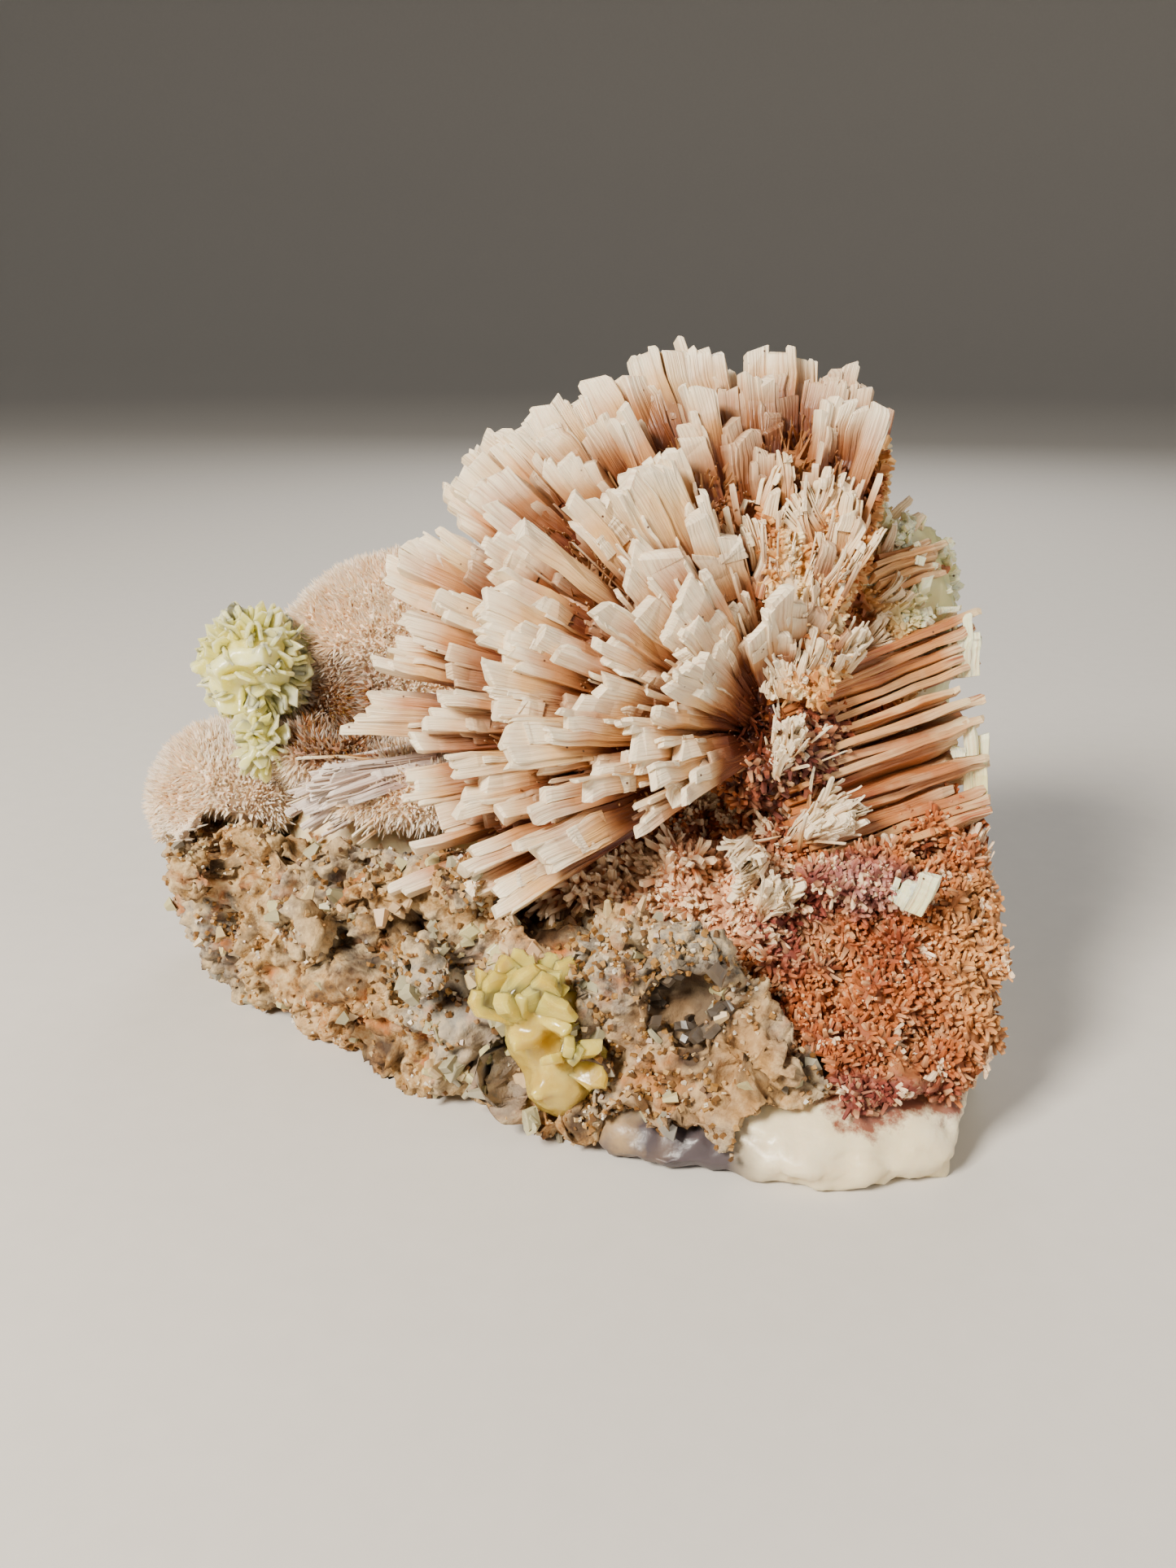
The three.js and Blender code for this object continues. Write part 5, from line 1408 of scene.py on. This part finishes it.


# %% [markdown]
# ## Massive white zeolite
# The base and the back are massive zeolite: cream, waxy and broken to broad soft facets with a few healed
# cracks. Iron has stained it red along the contact with the bed, and it is pale green along the right. At the
# lower
# front left it is dark greyish lilac: a lilac tint with painted shade on it. How far each point lies from the
# bed is measured once and stored for the red stain.
# Small cream crystals fill the gap below the lobes, and pale green ones stand on the rim beside the crown.

# %% Massive zeolite material
def massive_material(name):
    """Massive zeolite: waxy, with soft highlights and light that goes in a little."""
    material, tree, shader, place = start_material(
        name, Subsurface_Weight=0.3, Subsurface_Scale=1.6 * MM, Subsurface_Radius=SUBSURFACE_REACH, IOR=1.49)
    broad = mottle(tree, place, 9.0, 3.0)
    fine = mottle(tree, place, 1.0, 4.0)
    cream = add(tree, "ShaderNodeValToRGB", {0: broad}, stops=[
        (0.3, "#D9C596"), (0.5, "#E9D9B2"), (0.7, "#F1E6C8")]).outputs[0]
    contact, hollow = (add(tree, "ShaderNodeAttribute", attribute_name=key).outputs["Fac"]
                       for key in ("contact", "hollow"))
    ragged = mottle(tree, place, 1.3, 5.0, 0.7)
    edge = add(tree, "ShaderNodeMath", {0: ragged, 1: 7.0, 2: contact}, operation="MULTIPLY_ADD").outputs[0]
    coloured = coated(tree, cream,
                      # Dark greyish lilac at the lower front left: a lilac tint darkened as painted shade.
                      (near(tree, place, (5, -36, 1), (18, 10, 8), broad), 0, 1, 1, "#50474A"),
                      (near(tree, place, (48, 6, 58), (10, 16, 32), broad), 0, 1, 1, "#DAD69C"),
                      (edge, 6.1, 4.7, 0.9, "#7A2A18"),
                      (mottle(tree, place, 5.0, 5.0), 0.55, 0.72, 0.5, "#D2AE74"),
                      (hollow, 0.2, 0.8, 0.12, "#C49A66"))
    surfaced(tree, shader, coloured, (fine, 0.3, 0.7, 0.3, 0.5), (fine, 0.25, 0.6))
    return material


massive = massive_material("massive_zeolite_waxy")
print("massive zeolite material with", len(massive.node_tree.nodes), "nodes")

# %% Massive zeolite
base_rock = grown(carrier("massive_zeolite", "massive_base", 0.82, 2), relief, Lump_size=0.011,
                  Lump_height=0.0010, Grit_size=0.0075, Grit_height=0.0007, Pit_size=0.012, Pit_depth=0.0004,
                  Sink=0.0005, Crack_size=0.022, Crack_depth=0.0005, Stone=massive)
bed_points = KDTree(len(bed_ground.data.vertices))
for vertex in bed_ground.data.vertices:
    bed_points.insert(vertex.co, vertex.index)
bed_points.balance()
contact = [bed_points.find(vertex.co)[2] / MM for vertex in base_rock.data.vertices]
base_rock.data.attributes.new("contact", "FLOAT", "POINT").data.foreach_set("value", contact)
finish_piece(base_rock, "massive_zeolite")
sprays_on(base_rock, "massive_gap_crystals", "massive_zeolite", spray_material,
          low=(-48, -32, 18), high=(4, 8, 42), count=110, needles=7, length=(1.6, 3.6), spread=46, seed=66,
          widths=(0.4, 1.0))
sprays_on(base_rock, "massive_rim_crystals", "massive_zeolite", plate_material,
          low=(30, -12, 54), high=(51, 14, 80), count=70, needles=4, length=(1.2, 2.8), spread=34, seed=64,
          widths=(0.8, 2.2))


# %% [markdown]
# ## Stilbite
# Stilbite grows as thin tables that part towards their ends like a bow tie. The green cluster is a rounded
# crowd of small crinkled tables, and the yellow one has a few thick tables on a translucent mass. Each table is
# a plate with a narrower foot, an uneven blunt end and bevelled edges, made from one outline. The mass under
# them is the CAD solid, smoothed for the green one and left with its facets for the yellow one.

# %% Stilbite material
def stilbite_material(name, deep, shallow, honey_mm=None):
    """Stilbite: milky, translucent and pearly, so that thick parts glow. It turns to honey low down."""
    material, tree, shader, place = start_material(
        name, Transmission_Weight=0.06, IOR=1.5, Subsurface_Weight=0.85, Subsurface_Scale=3.5 * MM,
        Subsurface_Radius=(1.0, 0.9, 0.45))
    coloured = coated(tree, deep, (mottle(tree, place, 2.0, 3.0), 0.35, 0.7, 1, shallow))
    if honey_mm is not None:
        height = add(tree, "ShaderNodeSeparateXYZ", {0: place}).outputs["Z"]
        low, high = honey_mm
        coloured = coated(tree, coloured, (height, high * MM, low * MM, 0.5, "#B0904A"))
    surfaced(tree, shader, coloured, (mottle(tree, place, 0.8), 0.35, 0.7, 0.14, 0.34),
             (mottle(tree, place, 0.5, 2.0), 0.12, 0.6))
    return material


green_stilbite = stilbite_material("stilbite_pale_green", "#ECE280", "#FBF6B4")
yellow_stilbite = stilbite_material("stilbite_honey_yellow", "#C6A640", "#E2CE6C", (7, 18))
print("two stilbite materials")

# %% Stilbite tables
TABLE_OUTLINE = np.array([[-0.34, 0], [0.34, 0], [0.4, 0.34], [0.52, 0.72], [0.3, 0.86], [0.16, 1.04],
                          [-0.2, 0.93], [-0.5, 0.76], [-0.4, 0.36]])
TABLE_LEVELS = ((-0.5, 0.88), (-0.32, 1.0), (0.32, 1.0), (0.5, 0.88))  # place in the thickness, size


def tables(name, clusters, seed):
    """Clusters of tables round an axis. Where a cluster has a front, its tables turn a face to it."""
    rng = np.random.default_rng(seed)
    points, faces = [], []
    for cluster in clusters:
        at, axis = np.array(cluster["at"], float), unit(cluster["outward"])
        for i in range(cluster["count"]):
            along, across, facing = leaning(axis, cluster["spread"], rng)
            if "front" in cluster:
                across = unit(np.cross(along, np.array(cluster["front"]) + rng.normal(0, 0.3, 3)))
                facing = np.cross(along, across)
            width = cluster["size"] * rng.uniform(0.5, 0.95)
            length = cluster["size"] * rng.uniform(0.8, 1.15)
            thick = cluster["size"] * rng.uniform(*cluster["thick"])
            outline = TABLE_OUTLINE * [width, length] * rng.uniform(0.86, 1.12, TABLE_OUTLINE.shape)
            root = at + np.array(cluster["heart"]) * along * 0.55
            base = len(points)
            middle = outline.mean(0)
            for level, inset in TABLE_LEVELS:
                ring = middle + (outline - middle) * inset
                bow = 0.06 * ring[:, 1] ** 2 / cluster["size"]
                ring_points = (root + ring[:, :1] * across + ring[:, 1:] * along
                               + (level * thick + bow)[:, None] * facing)
                points.extend(ring_points)
            size, top = len(TABLE_OUTLINE), len(TABLE_LEVELS) - 1
            turn = 1 if np.cross(across, along) @ facing > 0 else -1
            new = [[base + k for k in range(size)][::-1], [base + top * size + k for k in range(size)]]
            for level in range(top):
                for k in range(size):
                    a, b = base + level * size + k, base + level * size + (k + 1) % size
                    new.append([a, b, b + size, a + size])
            faces.extend(face[::turn] for face in new)
    return mesh_piece(name, wavered(np.array(points)), faces, smooth=False)


GREEN_CLUSTERS = [
    {"at": (-45.5, 9, 49), "outward": (-0.5, -0.6, 0.45), "size": 3.7, "count": 250, "heart": (7.8, 6.6, 8.6),
     "spread": 130, "thick": (0.09, 0.17)},
    {"at": (-44, 5, 39.5), "outward": (-0.1, -0.8, -0.6), "size": 3.2, "count": 42, "heart": (3.0, 3.4, 5.0),
     "spread": 95, "thick": (0.09, 0.17)},
]
YELLOW_CLUSTERS = [
    {"at": (-6, -29.5, 15), "outward": (-0.1, -0.25, 1.0), "size": 6.2, "count": 20, "heart": (4.6, 4.4, 6.0),
     "spread": 58, "thick": (0.2, 0.36), "front": (0.1, -0.9, 0.4)},
    {"at": (-3.5, -30.5, 11.5), "outward": (0.4, -0.2, 0.5), "size": 4.4, "count": 9, "heart": (3.8, 3.0, 4.0),
     "spread": 60, "thick": (0.24, 0.4), "front": (0.1, -0.9, 0.3)},
]
for node, name, clusters, seed, material, sink, smoothing, height in (
        ("green_stilbite", "green_stilbite_tables", GREEN_CLUSTERS, 51, green_stilbite, 0.0004, 8, 0.0003),
        ("yellow_stilbite", "yellow_stilbite_tables", YELLOW_CLUSTERS, 52, yellow_stilbite, 0.0, 1, 0.00015)):
    heart = grown(carrier(node, name + "_mass", 0.5, smoothing), relief, Lump_size=0.004, Lump_height=height,
                  Grit_size=0.002, Grit_height=height, Pit_size=0.005, Pit_depth=0.0002, Sink=sink,
                  Crack_depth=0.0, Stone=material)
    finish_piece(heart, node)
    finish_piece(tables(name, clusters, seed), node, material)
